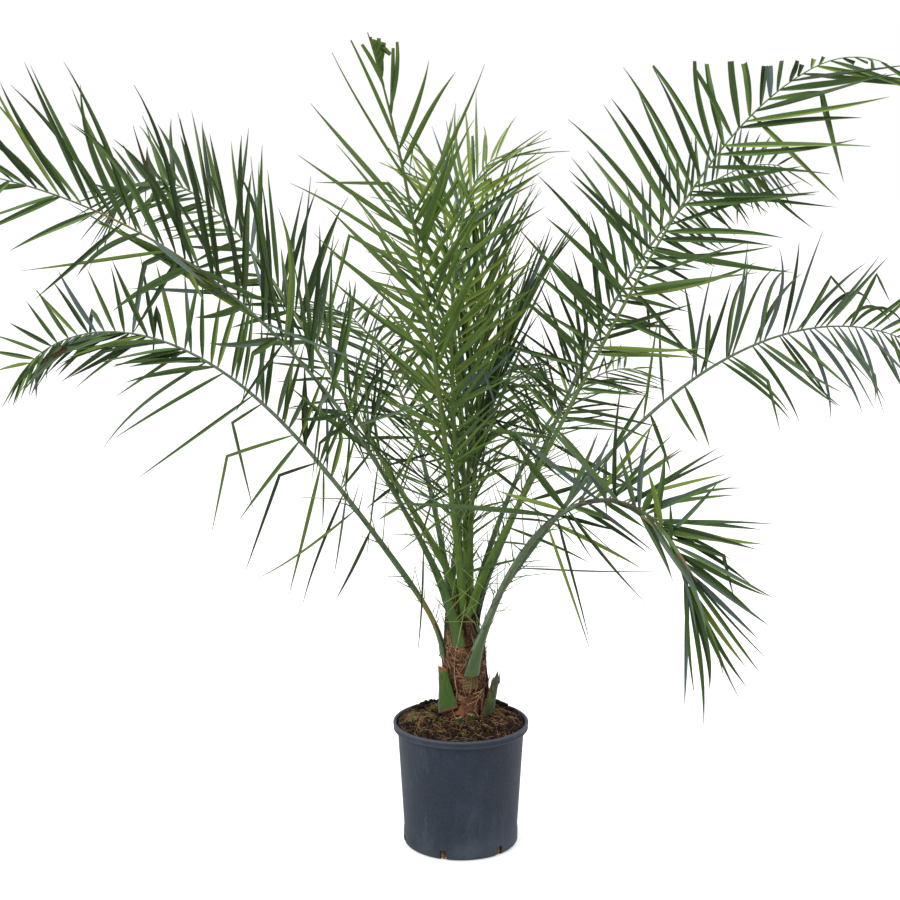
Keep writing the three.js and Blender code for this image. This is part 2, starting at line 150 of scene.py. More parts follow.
# How each frond is dressed, with a row for its +side and one for its -side. width: of the widest
# leaflets. slim: how much of it is left near the tip. curl: how far they bend to a side. stray: how
# unevenly they leave the rib, in degrees. tints: shares of the leaf colours. under: the colour of the
# undersides. dry: share of leaflets with a dry end. trim: the height at which leaflets were cut, and
# from where to where. dark_from: where its strays turn dark.
TINTS = ("deep", "mid", "light", "yellow", "blue")
SPAN = (0, 0.33, 0.67, 1)
LOOKS = {
    "upper_left_front": dict(
        rows=(row(48, (0.20, 0.29, 0.33, 0.21), (60, 50, 42, 30)),
              row(13, (0.16, 0.18, 0.22, 0.18), (60, 52, 58, 38), droop=0.1, kinks=0.15)),
        width=0.0190, slim=0.76, curl=0.12, tints=(4, 5, 1, 0, 1), under="under", dry=0.03),
    "upper_left_back": dict(
        rows=(row(44, (0.20, 0.29, 0.27, 0.17), (46, 38, 32, 57)),
              row(44, (0.14, 0.15, 0.16, 0.15), (60, 62, 58, 40), skew=0.75)),
        width=0.0148, slim=1.05, tints=(4, 4, 1, 0, 1), under="under", dry=0.02),
    "left_low": dict(
        rows=(row(40, (0.16, 0.19, 0.18, 0.10), (52, 58, 64, 72), droop=0.03),
              row(36, (0.14, 0.19, 0.17, 0.11), (40, 34, 32, 26), droop=0.1, kinks=0.06, part=(0.45, 1),
                  skew=0.75)),
        width=0.0140, stray=8, tints=(2, 4, 2, 0, 2), under="under_blue", dry=0.03),
    "tall_front": dict(
        rows=(row(20, (0.18, 0.28, 0.32, 0.30), (56, 48, 38, 20), part=(0, 0.60)),
              row(16, (0.18, 0.28, 0.28, 0.18), (44, 32, 28, 20), kinks=0.08, part=(0, 0.56))),
        width=0.0150, tints=(0, 2, 5, 4, 0), under="under_lit", dry=0.0, dark_from=0.705,
        trim=(1.735, 0, 1)),
    "tall_back_left": dict(
        rows=(row(40, (0.18, 0.26, 0.27, 0.21), (44, 34, 26, 20)),
              row(40, (0.16, 0.19, 0.20, 0.17), (60, 72, 70, 48))),
        width=0.0120, tints=(0, 2, 4, 5, 0), under="under_lit", dry=0.02),
    "tall_back_right": dict(
        rows=(row(34, (0.16, 0.22, 0.22, 0.20), (52, 55, 46, 24)),
              row(36, (0.16, 0.24, 0.25, 0.21), (42, 42, 34, 24), kinks=0.08)),
        width=0.0122, tints=(0, 2, 4, 4, 1), under="under_lit", dry=0.02),
    "closed_spear": dict(
        rows=(row(18, (0.26, 0.30, 0.26, 0.14), (6, 7, 9, 8), (-60, 0, 60), 0.0, 0.0),
              row(18, (0.26, 0.30, 0.26, 0.14), (5, 5, 6, 6), (-60, 0, 60), 0.0, 0.0)),
        width=0.0115, tints=(5, 4, 0, 0, 1), under="under_lit", dry=0.0),
    "centre": dict(
        rows=(row(36, (0.20, 0.32, 0.28, 0.16), (16, 20, 24, 22), (-40, 10, 50), 0.0, 0.0),
              row(36, (0.20, 0.32, 0.26, 0.13), (14, 15, 15, 13), (-40, 10, 50), 0.0, 0.0)),
        width=0.0098, tints=(2, 4, 4, 1, 2), under="under_lit", dry=0.0),
    "upper_right_front": dict(
        rows=(row(31, (0.20, 0.28, 0.29, 0.24), (70, 60, 52, 26), droop=0.02, kinks=0.04, skew=0.72),
              row(38, (0.20, 0.28, 0.30, 0.20), (92, 72, 56, 30), droop=0.02, part=(0, 0.89), skew=0.92)),
        width=0.0150, slim=1.1, curl=0.06, tints=(3, 5, 3, 0, 1), under="under", dry=0.02,
        trim=(1.705, 0.45, 0.97)),
    "upper_right_back": dict(
        rows=(row(48, (0.14, 0.18, 0.13, 0.11), (60, 66, 92, 80), skew=0.7),
              row(42, (0.18, 0.23, 0.17, 0.09), (50, 40, 42, 50))),
        width=0.0115, tints=(5, 4, 0, 0, 1), under="under", dry=0.02),
    "right_low": dict(
        rows=(row(30, (0.12, 0.20, 0.21, 0.15), (60, 66, 68, 46), droop=0.1, kinks=0.1, part=(0.40, 1),
                  skew=0.8),
              row(26, (0.16, 0.24, 0.22, 0.12), (38, 52, 48, 40), kinks=0.1, limp=0.3, part=(0.35, 1))),
        width=0.0125, curl=0.10, tints=(1, 3, 1, 0, 5), under="under_blue", dry=0.03),
    "drooping_right": dict(
        rows=(row(14, (0.14, 0.17, 0.20, 0.24), (40, 30, 12, 6), (-8, 20, 45), part=(0.25, 1)),
              row(30, (0.12, 0.18, 0.21, 0.24), (40, 48, 52, 26), (-8, 20, 45), part=(0.2, 1))),
        width=0.0150, tints=(3, 3, 1, 1, 4), under="under_blue", dry=0.12),
    "short_right": dict(
        rows=(row(17, (0.14, 0.17, 0.16, 0.11), (56, 50, 40, 24)),
              row(17, (0.14, 0.17, 0.16, 0.11), (60, 50, 40, 26), kinks=0.1)),
        width=0.0100, stray=12, tints=(1, 4, 3, 2, 0), under="under_lit", dry=0.05),
    "back_left": dict(
        rows=(row(36, (0.14, 0.22, 0.20, 0.13), (58, 52, 44, 30), droop=0.1),
              row(36, (0.14, 0.22, 0.20, 0.13), (58, 52, 44, 30), droop=0.1)),
        width=0.0120, tints=(3, 4, 1, 0, 1), under="under", dry=0.04),
    "back_right": dict(
        rows=(row(34, (0.14, 0.21, 0.19, 0.12), (58, 52, 44, 30), droop=0.1),
              row(34, (0.14, 0.21, 0.19, 0.12), (58, 52, 44, 30), droop=0.1)),
        width=0.0120, tints=(3, 4, 1, 0, 1), under="under", dry=0.04),
}

# Leaflets that go their own way: where on the leafy part of the rib (0 to 1, or below 0 on the stalk),
# the way they point in the front view (degrees, 0 to the right, 90 up), how far they lean to the
# back, length, width, then where it folds (2 is nowhere) and the way its end points, and last its place
# in TINTS where it has a colour of its own.
STRAYS = {
    "upper_left_front": (
        (0.62, -39, -10, 0.14, 0.014), (0.56, 238, -10, 0.18, 0.013), (0.52, -28, 0, 0.18, 0.014),
        (0.58, 188, -5, 0.29, 0.010), (0.68, 221, -10, 0.22, 0.012), (0.44, 176, 0, 0.20, 0.011),
        (0.86, 184, -10, 0.15, 0.014), (0.80, 203, -10, 0.17, 0.014), (0.02, 140, -10, 0.22, 0.016),
        (0.10, 224, -10, 0.06, 0.012), (-0.10, 216, -10, 0.07, 0.009), (-0.16, 212, -8, 0.06, 0.009),
        (-0.02, 262, -10, 0.20, 0.006), (0.18, 262, 0, 0.20, 0.007), (0.30, 232, 0, 0.18, 0.009),
        (-0.30, 269, -10, 0.245, 0.006, 2, 0, 0), (0.26, -38, 0, 0.30, 0.006), (0.36, -24, 0, 0.26, 0.008),
        (0.30, 100, -20, 0.30, 0.014), (0.36, 146, -14, 0.36, 0.020, 2, 0, 3),
        (0.44, 145, -14, 0.30, 0.017, 2, 0, 3),
        (0.48, 149, -14, 0.26, 0.014, 2, 0, 1), (0.40, 147, -15, 0.40, 0.013, 2, 0, 2),
        (0.50, 150, -12, 0.14, 0.018, 0.4, -60, 2),
        (0.05, -30, -5, 0.24, 0.007), (0.12, -48, -5, 0.26, 0.007), (0.22, -58, 0, 0.24, 0.007),
        (-0.08, -20, -5, 0.18, 0.006), (0.02, 92, -5, 0.22, 0.008),
        (-0.10, 62, -5, 0.16, 0.008), (-0.20, 38, -5, 0.16, 0.007), (-0.28, 74, -5, 0.15, 0.007),
        (-0.15, 104, -5, 0.14, 0.007), (-0.02, -50, -5, 0.20, 0.008), (0.08, 20, -5, 0.22, 0.008),
    ),
    "upper_left_back": (
        (0.05, -40, 0, 0.20, 0.007), (0.10, -58, 0, 0.22, 0.007), (0.28, -35, 0, 0.26, 0.008),
        (0.02, -62, 0, 0.18, 0.006), (0.50, -60, 0, 0.20, 0.009), (0.15, -30, 0, 0.22, 0.007),
        (-0.08, 15, 0, 0.16, 0.008), (-0.16, 70, 0, 0.15, 0.007), (-0.24, 30, 0, 0.14, 0.007),
        (-0.05, 100, 0, 0.16, 0.008), (0.08, -10, 0, 0.20, 0.008),
        (0.84, 196, 0, 0.20, 0.014, 2, 0, 0), (0.88, 205, 0, 0.18, 0.014, 2, 0, 0),
        (0.80, 190, 0, 0.20, 0.014, 2, 0, 0),
        (0.92, 212, 0, 0.16, 0.013, 2, 0, 0), (0.76, 182, 0, 0.20, 0.013, 2, 0, 1),
        (0.95, 220, 0, 0.15, 0.013, 2, 0, 0),
        (0.20, -22, 0, 0.22, 0.008), (0.34, -48, 0, 0.24, 0.008), (0.42, -62, 0, 0.22, 0.009),
        (0.12, -75, 0, 0.20, 0.008),
    ),
    "left_low": (
        (0.56, 213, -5, 0.18, 0.009), (0.66, 212, -5, 0.19, 0.009), (0.50, 211, 0, 0.30, 0.010),
        (0.45, 209, -5, 0.28, 0.010), (0.36, 215, -8, 0.31, 0.009), (0.33, 213, 0, 0.28, 0.009, 0.25, 282),
        (0.22, 196, -5, 0.33, 0.009, 0.46, 258), (0.20, 231, -5, 0.22, 0.011),
        (0.13, 198, -5, 0.32, 0.009, 0.26, 250), (0.12, 256, -5, 0.30, 0.010), (0.11, 269, 5, 0.14, 0.006),
        (0.03, 246, -5, 0.27, 0.008), (-0.03, 219, -8, 0.27, 0.007), (0.08, 74, 0, 0.16, 0.013, 0.55, 96),
        (0.18, 92, 0, 0.16, 0.012), (0.24, 62, 0, 0.13, 0.012, 0.6, -70), (-0.12, 245, -5, 0.18, 0.009),
        (0.02, 262, -15, 0.18, 0.006),
    ),
    "tall_front": (
        (0.88, 116, -5, 0.13, 0.017), (0.745, 113, -8, 0.26, 0.014, 2, 0, 1),
        (0.68, 122, -5, 0.28, 0.012, 2, 0, 1),
        (0.60, 128, -8, 0.22, 0.012, 0.36, 178), (0.58, 60, -10, 0.13, 0.015, 0.5, -52),
        (0.83, 79, -5, 0.20, 0.013), (0.82, 88, -5, 0.20, 0.012), (0.745, 67, -10, 0.18, 0.013),
        (0.71, 64, -10, 0.21, 0.013), (0.60, 62, -10, 0.33, 0.011), (0.54, 58, -10, 0.24, 0.013, 0.62, -60),
        (0.30, 48, -10, 0.30, 0.010), (0.24, 46, -10, 0.28, 0.009), (0.16, 30, -15, 0.22, 0.008),
        (-0.04, 28, -15, 0.20, 0.008), (0.05, 136, -10, 0.20, 0.014), (-0.12, 142, -10, 0.14, 0.013),
        (-0.32, 20, -15, 0.17, 0.010), (-0.05, 152, -15, 0.18, 0.008),
        (-0.18, 140, -15, 0.15, 0.008), (-0.10, 214, -15, 0.15, 0.007), (-0.26, 150, -15, 0.14, 0.007),
        (-0.22, 40, -15, 0.15, 0.008), (0.90, 96, 0, 0.10, 0.016), (0.92, 84, 0, 0.09, 0.016),
        (0.93, 104, -5, 0.09, 0.015), (0.95, 78, -5, 0.08, 0.015), (0.96, 92, 0, 0.07, 0.015),
        (0.97, 70, 5, 0.06, 0.014), (0.98, 108, -5, 0.06, 0.014), (0.94, 66, 10, 0.07, 0.013, 0.5, -40),
    ),
    "tall_back_right": (
        (0.80, 40, -10, 0.11, 0.014, 0.5, -75), (0.72, 20, -10, 0.12, 0.014, 0.6, -100),
        (0.66, -10, -10, 0.10, 0.016, 0.5, -80), (0.55, -30, -10, 0.10, 0.016),
        (0.60, -62, -10, 0.09, 0.012),
    ),
    "closed_spear": (
        (0.55, -48, -10, 0.24, 0.008), (0.40, -42, -10, 0.26, 0.010), (0.70, -36, -10, 0.22, 0.009),
    ),
    "upper_right_front": (
        (0.66, -47, -10, 0.25, 0.013), (0.73, -44, -10, 0.25, 0.012), (0.49, 19, -5, 0.28, 0.011),
        (0.05, 171, -15, 0.22, 0.011), (0.24, 147, -15, 0.17, 0.012), (0.30, 141, -15, 0.20, 0.011),
        (0.08, 130, -15, 0.16, 0.010), (-0.02, 156, -15, 0.14, 0.009), (0.30, -23, -10, 0.24, 0.013),
        (0.36, -50, -10, 0.20, 0.012), (0.04, -27, -10, 0.22, 0.012), (0.42, 3, -5, 0.26, 0.012),
        (0.56, -6, -5, 0.30, 0.012), (-0.10, 138, -15, 0.20, 0.009), (0.00, -14, -15, 0.28, 0.009),
        (0.16, 88, -10, 0.22, 0.009), (-0.20, -18, -15, 0.20, 0.008), (0.24, 96, 0, 0.20, 0.008),
        (0.02, 150, -12, 0.22, 0.007), (0.12, 158, -10, 0.24, 0.008), (-0.12, -30, -12, 0.16, 0.006),
        (0.10, 120, -5, 0.20, 0.007),
    ),
    "upper_right_back": (
        (0.10, 150, 0, 0.22, 0.008), (0.20, 140, 0, 0.20, 0.008), (0.05, 165, 0, 0.20, 0.007),
        (0.86, -58, 0, 0.12, 0.014), (0.90, -66, 0, 0.11, 0.014), (0.80, -52, 0, 0.12, 0.013),
    ),
    "right_low": (
        (0.64, 62, 0, 0.21, 0.012, 0.6, -48), (0.76, 66, 0, 0.20, 0.012, 0.6, -62),
        (0.10, 268, -5, 0.13, 0.011), (0.16, 284, -5, 0.10, 0.010), (0.24, 292, -5, 0.14, 0.011),
        (0.30, 300, -5, 0.12, 0.011), (0.34, 296, -5, 0.15, 0.012), (0.28, 96, -5, 0.22, 0.008),
        (0.05, 166, -5, 0.16, 0.012), (0.22, 84, 0, 0.24, 0.008), (0.36, 83, 0, 0.26, 0.008),
        (0.46, 80, 0, 0.26, 0.009), (0.02, 196, -5, 0.14, 0.012), (0.12, 60, 0, 0.16, 0.012),
    ),
    "drooping_right": (
        (0.19, 172, -13, 0.37, 0.026, 2, 0, 0), (0.24, 163, -10, 0.15, 0.018, 2, 0, 2),
        (0.15, 172, -10, 0.11, 0.010),
        (0.00, 172, -10, 0.10, 0.011), (0.25, 128, 0, 0.20, 0.018), (0.42, 142, -8, 0.25, 0.014),
        (0.52, 133, 0, 0.26, 0.015), (0.46, 119, 0, 0.20, 0.015), (0.60, 107, 0, 0.12, 0.013),
        (0.50, 90, 0, 0.25, 0.014), (0.62, 91, 0, 0.18, 0.013), (0.70, 79, 0, 0.14, 0.015),
        (0.74, 104, -10, 0.13, 0.014), (0.78, 48, -5, 0.15, 0.011), (0.80, 92, -5, 0.08, 0.009),
        (0.15, -24, -5, 0.22, 0.012), (0.14, -70, -8, 0.28, 0.011), (0.20, -74, -5, 0.27, 0.011),
        (0.24, -60, -5, 0.12, 0.007), (0.26, -53, -8, 0.25, 0.009), (0.24, -38, 0, 0.15, 0.004),
        (-0.18, -2, -5, 0.31, 0.007), (0.20, -14, -5, 0.13, 0.014), (0.30, -30, -5, 0.18, 0.013),
        (0.36, -36, -5, 0.17, 0.013), (0.72, -11, -5, 0.14, 0.011), (0.74, -20, -5, 0.15, 0.011),
        (0.74, -28, -5, 0.21, 0.013), (0.86, -36, -5, 0.19, 0.012), (0.92, -42, -5, 0.20, 0.013),
        (0.98, -56, -5, 0.20, 0.013), (0.99, -63, -5, 0.23, 0.013), (1.0, -69, -5, 0.20, 0.018),
        (1.0, -79, -5, 0.27, 0.013), (0.64, 66, -5, 0.07, 0.018, 0.5, -30),
    ),
}
RIB_STEPS = 64
RIB_RISE = 0.16  # share of the rib over which it leaves the trunk
RIB_FOOT_TILT = 4  # degrees from upright where it starts
RIB_TIP = 0.0010  # half width of the rib's end
NOD_FROM = 0.9  # share of the rib where a nod begins
CROWN_MARGIN = 0.03  # how far a leaflet may stand past the frame's box
CROWN_LOW, CROWN_HIGH = (np.array(corner) + sign * CROWN_MARGIN
                         for corner, sign in zip(CAD_BOX, (-1, 1)))
CLUSTER = 3  # leaflets that leave the foot of the leafy part together
LEAF_TURN, LEAF_TWIST, LEAF_STRAY = 16, 22, 6  # degrees by which leaflets differ from one another
WHOLE = 2.0  # a share past every end: nothing is broken, dry or dark from there
LEAF_RINGS = 12
LEAF_OUTLINE = ((0, 0.05, 0.15, 0.3, 0.5, 0.7, 0.85, 1), (0.3, 0.55, 0.85, 1, 0.9, 0.64, 0.36, 0.03))

# ---- vectors and curves ----


def polar(azimuth, distance, z):
    a = np.radians(azimuth)
    return np.stack(np.broadcast_arrays(distance * np.cos(a), distance * np.sin(a), z), -1)


def pointing(angle, back):
    """The way that shows at an angle in the front view, leaning to the back."""
    angle, back = np.radians(angle), np.radians(back)
    return np.stack([np.cos(angle) * np.cos(back), np.sin(back), np.sin(angle) * np.cos(back)], -1)


def unit(v):
    return v / np.maximum(np.linalg.norm(v, axis=-1, keepdims=True), 1e-9)


def rib_of(frond):
    """The frond's rib at each step: its place, its direction, its upper face and its side."""
    s = (np.arange(RIB_STEPS) + 0.5) / RIB_STEPS
    rise = 1 - (1 - np.minimum(s / RIB_RISE, 1)) ** 2
    lean, arch = frond["lean"], frond["arch"]
    nod = frond.get("nod", 0) * np.clip((s - NOD_FROM) / (1 - NOD_FROM), 0, 1)
    tilt = np.radians(RIB_FOOT_TILT + (lean - RIB_FOOT_TILT) * rise + arch * s ** frond["bend"] + nod)
    heading = frond["azimuth"] + frond["sweep"] * s
    along = polar(heading, np.sin(tilt), np.cos(tilt))
    up = polar(heading, -np.cos(tilt), np.sin(tilt))
    roll = np.radians(np.interp(s, (0, 1), frond["roll"]))[:, None]
    face = up * np.cos(roll) + np.cross(along, up) * np.sin(roll)
    step = frond["length"] / RIB_STEPS
    place = polar(*frond["base"]) + np.vstack([np.zeros(3), np.cumsum(along * step, 0)])
    fade = np.interp(np.arange(RIB_STEPS + 1) / RIB_STEPS, frond.get("fade", (0.12, 0.4)), (1, 0))
    place += np.outer(fade, frond.get("push", (0, 0, 0)))
    side = np.cross(along, face)
    return dict(place=place, **{
        key: np.vstack([value, value[-1:]])
        for key, value in (("along", along), ("face", face), ("side", side))})


def stations(rib, s):
    """The rib's place and directions at shares s of its length."""
    at = np.clip(s, 0, 1) * RIB_STEPS
    i = np.minimum(at.astype(int), RIB_STEPS - 1)
    k = (at - i)[:, None]
    mixed = {key: rib[key][i] * (1 - k) + rib[key][i + 1] * k for key in rib}
    return mixed["place"], unit(mixed["along"]), unit(mixed["face"]), unit(mixed["side"])


def stalk_half(frond, s):
    """Half the rib's width: broad at the trunk, then a slow taper to a thread."""
    stalk = frond["thick"] * (1.25 - 0.5 * np.minimum(s / frond["leafy"], 1))
    after = np.clip((s - frond["leafy"]) / (1 - frond["leafy"]), 0, 1)
    return RIB_TIP + (stalk - RIB_TIP) * (1 - after) ** frond.get("taper", 1.1)


# ---- leaflets ----


def even_leaflets(frond, look, number, rib, rng):
    """One side's leaflets: in clusters at the foot, in an even row at the tip."""
    sign, side_row = (1, -1)[number], look["rows"][number]
    n = side_row["count"]
    t = (np.arange(n) + 0.5) / n
    group = np.arange(n) % CLUSTER
    pull = np.clip(1.2 - 1.5 * t, 0, 1) * 0.55
    t = np.clip(t + (1 - group) * pull / n + rng.normal(0, 0.14 / n, n), 0, 1)
    first, last = side_row["part"]
    t = first + (last - first) * t ** side_row["skew"]
    s = frond["leafy"] + (1 - frond["leafy"]) * t
    place, along, face, side = stations(rib, s)
    stray = rng.normal(0, look.get("stray", LEAF_STRAY), n) * np.interp(t, (0, 0.3), (2.4, 1))
    out = np.radians(np.interp(t, SPAN, side_row["out"]) + stray)
    out *= np.interp(t, (0.9, 1), (1, 0.55))
    lift = np.radians(np.array(side_row["lifts"])[group] * (1 - 0.5 * t) + rng.normal(0, 6, n))
    across = sign * side * np.cos(lift)[:, None] + face * np.sin(lift)[:, None]
    turn = np.radians(rng.normal(0, LEAF_TURN, n))[:, None]
    up = face * np.cos(lift)[:, None] - sign * side * np.sin(lift)[:, None]
    length = np.interp(t, SPAN, side_row["length"]) * rng.uniform(0.84, 1.10, n)
    width = look["width"] * np.interp(t, (0, 0.3, 0.8, 1), (0.46, 1, look.get("slim", 0.9), 0.7))
    heading = along * np.cos(out)[:, None] + across * np.sin(out)[:, None]
    kinked, limp = rng.random(n) < side_row["kinks"], rng.random(n) < side_row["limp"]
    droop = side_row["droop"] * rng.uniform(0.4, 1.7, n)
    return dict(
        share=t, place=place + across * 0.7 * stalk_half(frond, s)[:, None],
        heading=heading, ending=unit(heading * rng.uniform(0.1, 0.5, (n, 1)) + np.array([0.0, 0.0, -1.0])),
        up=up * np.cos(turn) + np.cross(along, up) * np.sin(turn),
        length=length, width=width * rng.uniform(0.8, 1.12, n),
        droop=np.where(limp, rng.uniform(0.9, 2.0, n), droop),
        twist=np.radians(rng.normal(0, LEAF_TWIST, n)),
        curl=rng.normal(0, look.get("curl", 0.04), n),
        kink=np.where(kinked, rng.uniform(0.35, 0.75, n), WHOLE),
        tint=rng.choice(len(TINTS), n, p=np.array(look["tints"]) / sum(look["tints"])),
        dry=np.where(rng.random(n) < look["dry"], rng.uniform(0.55, 0.93, n), WHOLE),
    )


def stray_leaflets(frond, look, strays, rib, rng):
    """The leaflets that go their own way."""
    n = len(strays)
    plain = (WHOLE, 0.0, -1.0)
    share, angle, back, length, width, kink, turned, own = np.array(
        [(*stray, *plain[len(stray) - 5:]) for stray in strays]).T
    s = frond["leafy"] + (1 - frond["leafy"]) * np.where(share > 0, share, share * 0.7)
    place, _, face, _ = stations(rib, s)
    heading = pointing(angle, back)
    up = unit(face - (face * heading).sum(-1, keepdims=True) * heading + [0, -0.35, 0.15])
    return dict(
        share=share, place=place, heading=heading, ending=pointing(turned, back), up=up, length=length,
        width=width, droop=np.full(n, 0.03), twist=np.radians(rng.normal(0, 20, n)),
        curl=rng.normal(0, 0.05, n), kink=kink,
        tint=np.where(own >= 0, own, np.where(share > look.get("dark_from", WHOLE), 0, rng.choice(
            len(TINTS), n, p=np.array(look["tints"]) / sum(look["tints"])))).astype(int),
        dry=np.where(rng.random(n) < look["dry"] * 0.6, rng.uniform(0.7, 0.95, n), WHOLE),
    )


def leaf_rows(name, rng):
    """Where each leaflet of a frond starts, which way it goes, and its size."""
    frond, look = FRONDS[name], LOOKS[name]
    rib = rib_of(frond)
    rows = [even_leaflets(frond, look, number, rib, rng) for number in (0, 1)]
    if name in STRAYS:
        rows.append(stray_leaflets(frond, look, STRAYS[name], rib, rng))
    rows = {key: np.concatenate([part[key] for part in rows]) for key in rows[0]}
    reach = rows["heading"] * rows["length"][:, None]
    room = np.where(reach > 0, CROWN_HIGH - rows["place"], rows["place"] - CROWN_LOW)
    rows["length"] = rows["length"] * np.clip(room / np.maximum(np.abs(reach), 1e-6), 0.2, 1).min(1)
    height, first, last = look.get("trim", (9.0, 0, 1))
    rise = np.maximum(rows["heading"][:, 2] * rows["length"], 1e-6)
    room = height + rng.normal(0, 0.006, len(rise)) - rows["place"][:, 2]
    trimmed = (rows["share"] >= first) & (rows["share"] <= last)
    rows["cut"] = np.where(trimmed, np.clip(room / rise, 0.12, 1), 1.0)
    rows["length"] = rows["length"] * rows["cut"]
    return rows


def leaf_rings(rows, fold, thickness):
    """The cross-sections of every leaflet: left edge, midrib, right edge and keel, at each ring."""
    n, gaps = len(rows["length"]), LEAF_RINGS - 1
    u = ((np.arange(gaps) + 0.5) / gaps)[None, :]
    down = np.array([0.0, 0.0, -1.0])
    cross = unit(np.cross(rows["heading"], rows["up"]))[:, None, :]
    bow = (rows["curl"][:, None] * u ** 2)[..., None] * cross * 3
    sag = (rows["droop"][:, None] * u ** 1.5)[..., None] * down
    ahead = unit(rows["heading"][:, None, :] + sag + bow)
    broken = (u > rows["kink"][:, None])[..., None]
    heading = np.where(broken, rows["ending"][:, None, :], ahead)
    steps = np.cumsum(heading * (rows["length"][:, None, None] / gaps), 1)
    middle = rows["place"][:, None, :] + np.concatenate([np.zeros((n, 1, 3)), steps], 1)
    along = unit(np.concatenate([
        heading[:, :1], unit(heading[:, 1:] + heading[:, :-1]), heading[:, -1:]], 1))
    up = rows["up"][:, None, :]
    up = unit(up - (up * along).sum(-1, keepdims=True) * along)
    v = np.arange(LEAF_RINGS)[None, :] / gaps
    spin = (rows["twist"][:, None] * v)[..., None]
    up = up * np.cos(spin) + np.cross(along, up) * np.sin(spin)
    across = np.cross(along, up)
    shape = np.interp(v * rows["cut"][:, None], *LEAF_OUTLINE)
    half = (rows["width"][:, None] * shape / 2)[..., None]
    wide, high = half * math.cos(fold), half * math.sin(fold)
    keel = middle - up * thickness
    return np.stack([middle + across * wide + up * high, middle, middle - across * wide + up * high,
                     keel], 2)


# ---- meshes ----


def section(place, side, face, across, rise):
    """A closed section round each place: across along its side and rise along its face."""
    return (place[..., None, :] + side[..., None, :] * across[..., None]
            + face[..., None, :] * rise[..., None])


def squarish(t, power):
    """A cosine that stays longer near its ends the lower the power."""
    return np.sign(np.cos(t)) * np.abs(np.cos(t)) ** power


def roughened(rings, relief):
    """Rings whose points are moved out from their middles."""
    return rings + unit(rings - rings.mean(-2, keepdims=True)) * relief[..., None]


def put(name, data):
    """A new object in the scene."""
    made = bpy.data.objects.new(name, data)
    bpy.context.scene.collection.objects.link(made)
    return made


def dress(mesh, finishes, along, sharp):
    """Gives a mesh its finishes, smooth faces between sharp edges, and the value its finishes read."""
    mesh.materials.clear()
    for key in finishes:
        mesh.materials.append(finish(key))
    mesh.polygons.foreach_set("use_smooth", [True] * len(mesh.polygons))
    mesh.attributes.new("along", "FLOAT", "POINT").data.foreach_set("value", along)
    mesh.set_sharp_from_angle(angle=math.radians(sharp))


class Shape:
    """Points and faces gathered for one piece, each face with the number of its finish."""

    def __init__(self):
        self.points, self.faces, self.slots, self.values, self.count = [], [], [], [], 0

    def tubes(self, rings, slots=0, value=None):
        """Closed skins over rings of points, as tubes x rings x points x 3, all at once."""
        n, r, m, _ = rings.shape
        index = self.count + np.arange(n * r * m).reshape(n, r, m)
        low, high = index[:, :-1], index[:, 1:]
        quads = np.stack([low, np.roll(low, -1, 2), np.roll(high, -1, 2), high], -1)
        flat = rings.reshape(-1, 3)
        a, b, c, d = (flat[quads[..., k] - self.count] for k in range(4))
        outward = np.einsum("...i,...i", np.cross(c - a, d - b), (a + b + c + d) / 4
                            - rings.mean(2)[:, :-1, None]).sum((1, 2)) > 0
        slots = np.broadcast_to(slots, (n, r - 1, m))
        for k in range(n):
            step = 1 if outward[k] else -1
            self.faces.extend(map(list, quads[k].reshape(-1, 4)[:, ::step].tolist()))
            self.faces.append(index[k, 0, ::-step].tolist())
            self.faces.append(index[k, -1, ::step].tolist())
            self.slots.extend(slots[k].reshape(-1).tolist())
            self.slots.extend([int(slots[k, 0, 0]), int(slots[k, -1, 0])])
        self.points.append(flat)
        value = np.zeros(len(flat)) if value is None else np.broadcast_to(value, (n, r, m)).reshape(-1)
        self.values.append(value)
        self.count += len(flat)
        return self

    def faces_of(self, points, faces, slot=0, value=None):
        """Points and faces that are already a closed skin."""
        points = np.asarray(points, float)
        self.faces.extend([self.count + i for i in face] for face in faces)
        self.slots.extend([slot] * len(faces))
        self.points.append(points)
        self.values.append(np.zeros(len(points)) if value is None else np.broadcast_to(value, len(points)))
        self.count += len(points)
        return self

    def build(self, name, finishes, sharp=35, slot=None, stands_for=()):
        """The piece itself, riding on the palm's one body."""
        mesh = bpy.data.meshes.new(name)
        mesh.from_pydata(np.concatenate(self.points).tolist(), [], self.faces)
        dress(mesh, finishes, np.concatenate(self.values), sharp)
        mesh.polygons.foreach_set("material_index", self.slots)
        mesh.update()
        return settle(put(name, mesh), stands_for)


def settle(piece, stands_for=()):
    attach(piece, "root")
    if stands_for:
        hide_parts(*stands_for)
    return piece


def loop(count, start=0.0):
    """Turns round a closed section, in radians."""
    return start + np.arange(count) * 2 * math.pi / count


def strands(paths, radii, points=5):
    """Round sections along many paths at once: paths are strands x rings x 3."""
    along = unit(np.gradient(paths, axis=1))
    side = unit(np.cross(along, np.array([0.31, 0.17, 0.93])))
    up = np.cross(side, along)
    t = loop(points)
    return section(paths, side, up, radii[..., None] * np.cos(t), radii[..., None] * np.sin(t))


def rough(points, scale, seed=0.0, octaves=4):
    """Soft noise, about -1 to 1, at each point."""
    shift = Vector((seed, seed * 1.7, seed * 0.6))
    flat = np.asarray(points).reshape(-1, 3)
    found = [noise.fractal(Vector(p) * scale + shift, 1.0, 2.1, octaves) for p in flat.tolist()]
    return np.array(found).reshape(np.asarray(points).shape[:-1])


# ---- finishes ----


def srgb(red, green, blue):
    """A display colour, 0 to 255, as the linear one that shaders take."""
    return tuple(c / 255 / 12.92 if c <= 10 else ((c / 255 + 0.055) / 1.055) ** 2.4
                 for c in (red, green, blue))


def scaled(color, share):
    """A lighter or darker version of a colour."""
    return tuple(c * share for c in color)


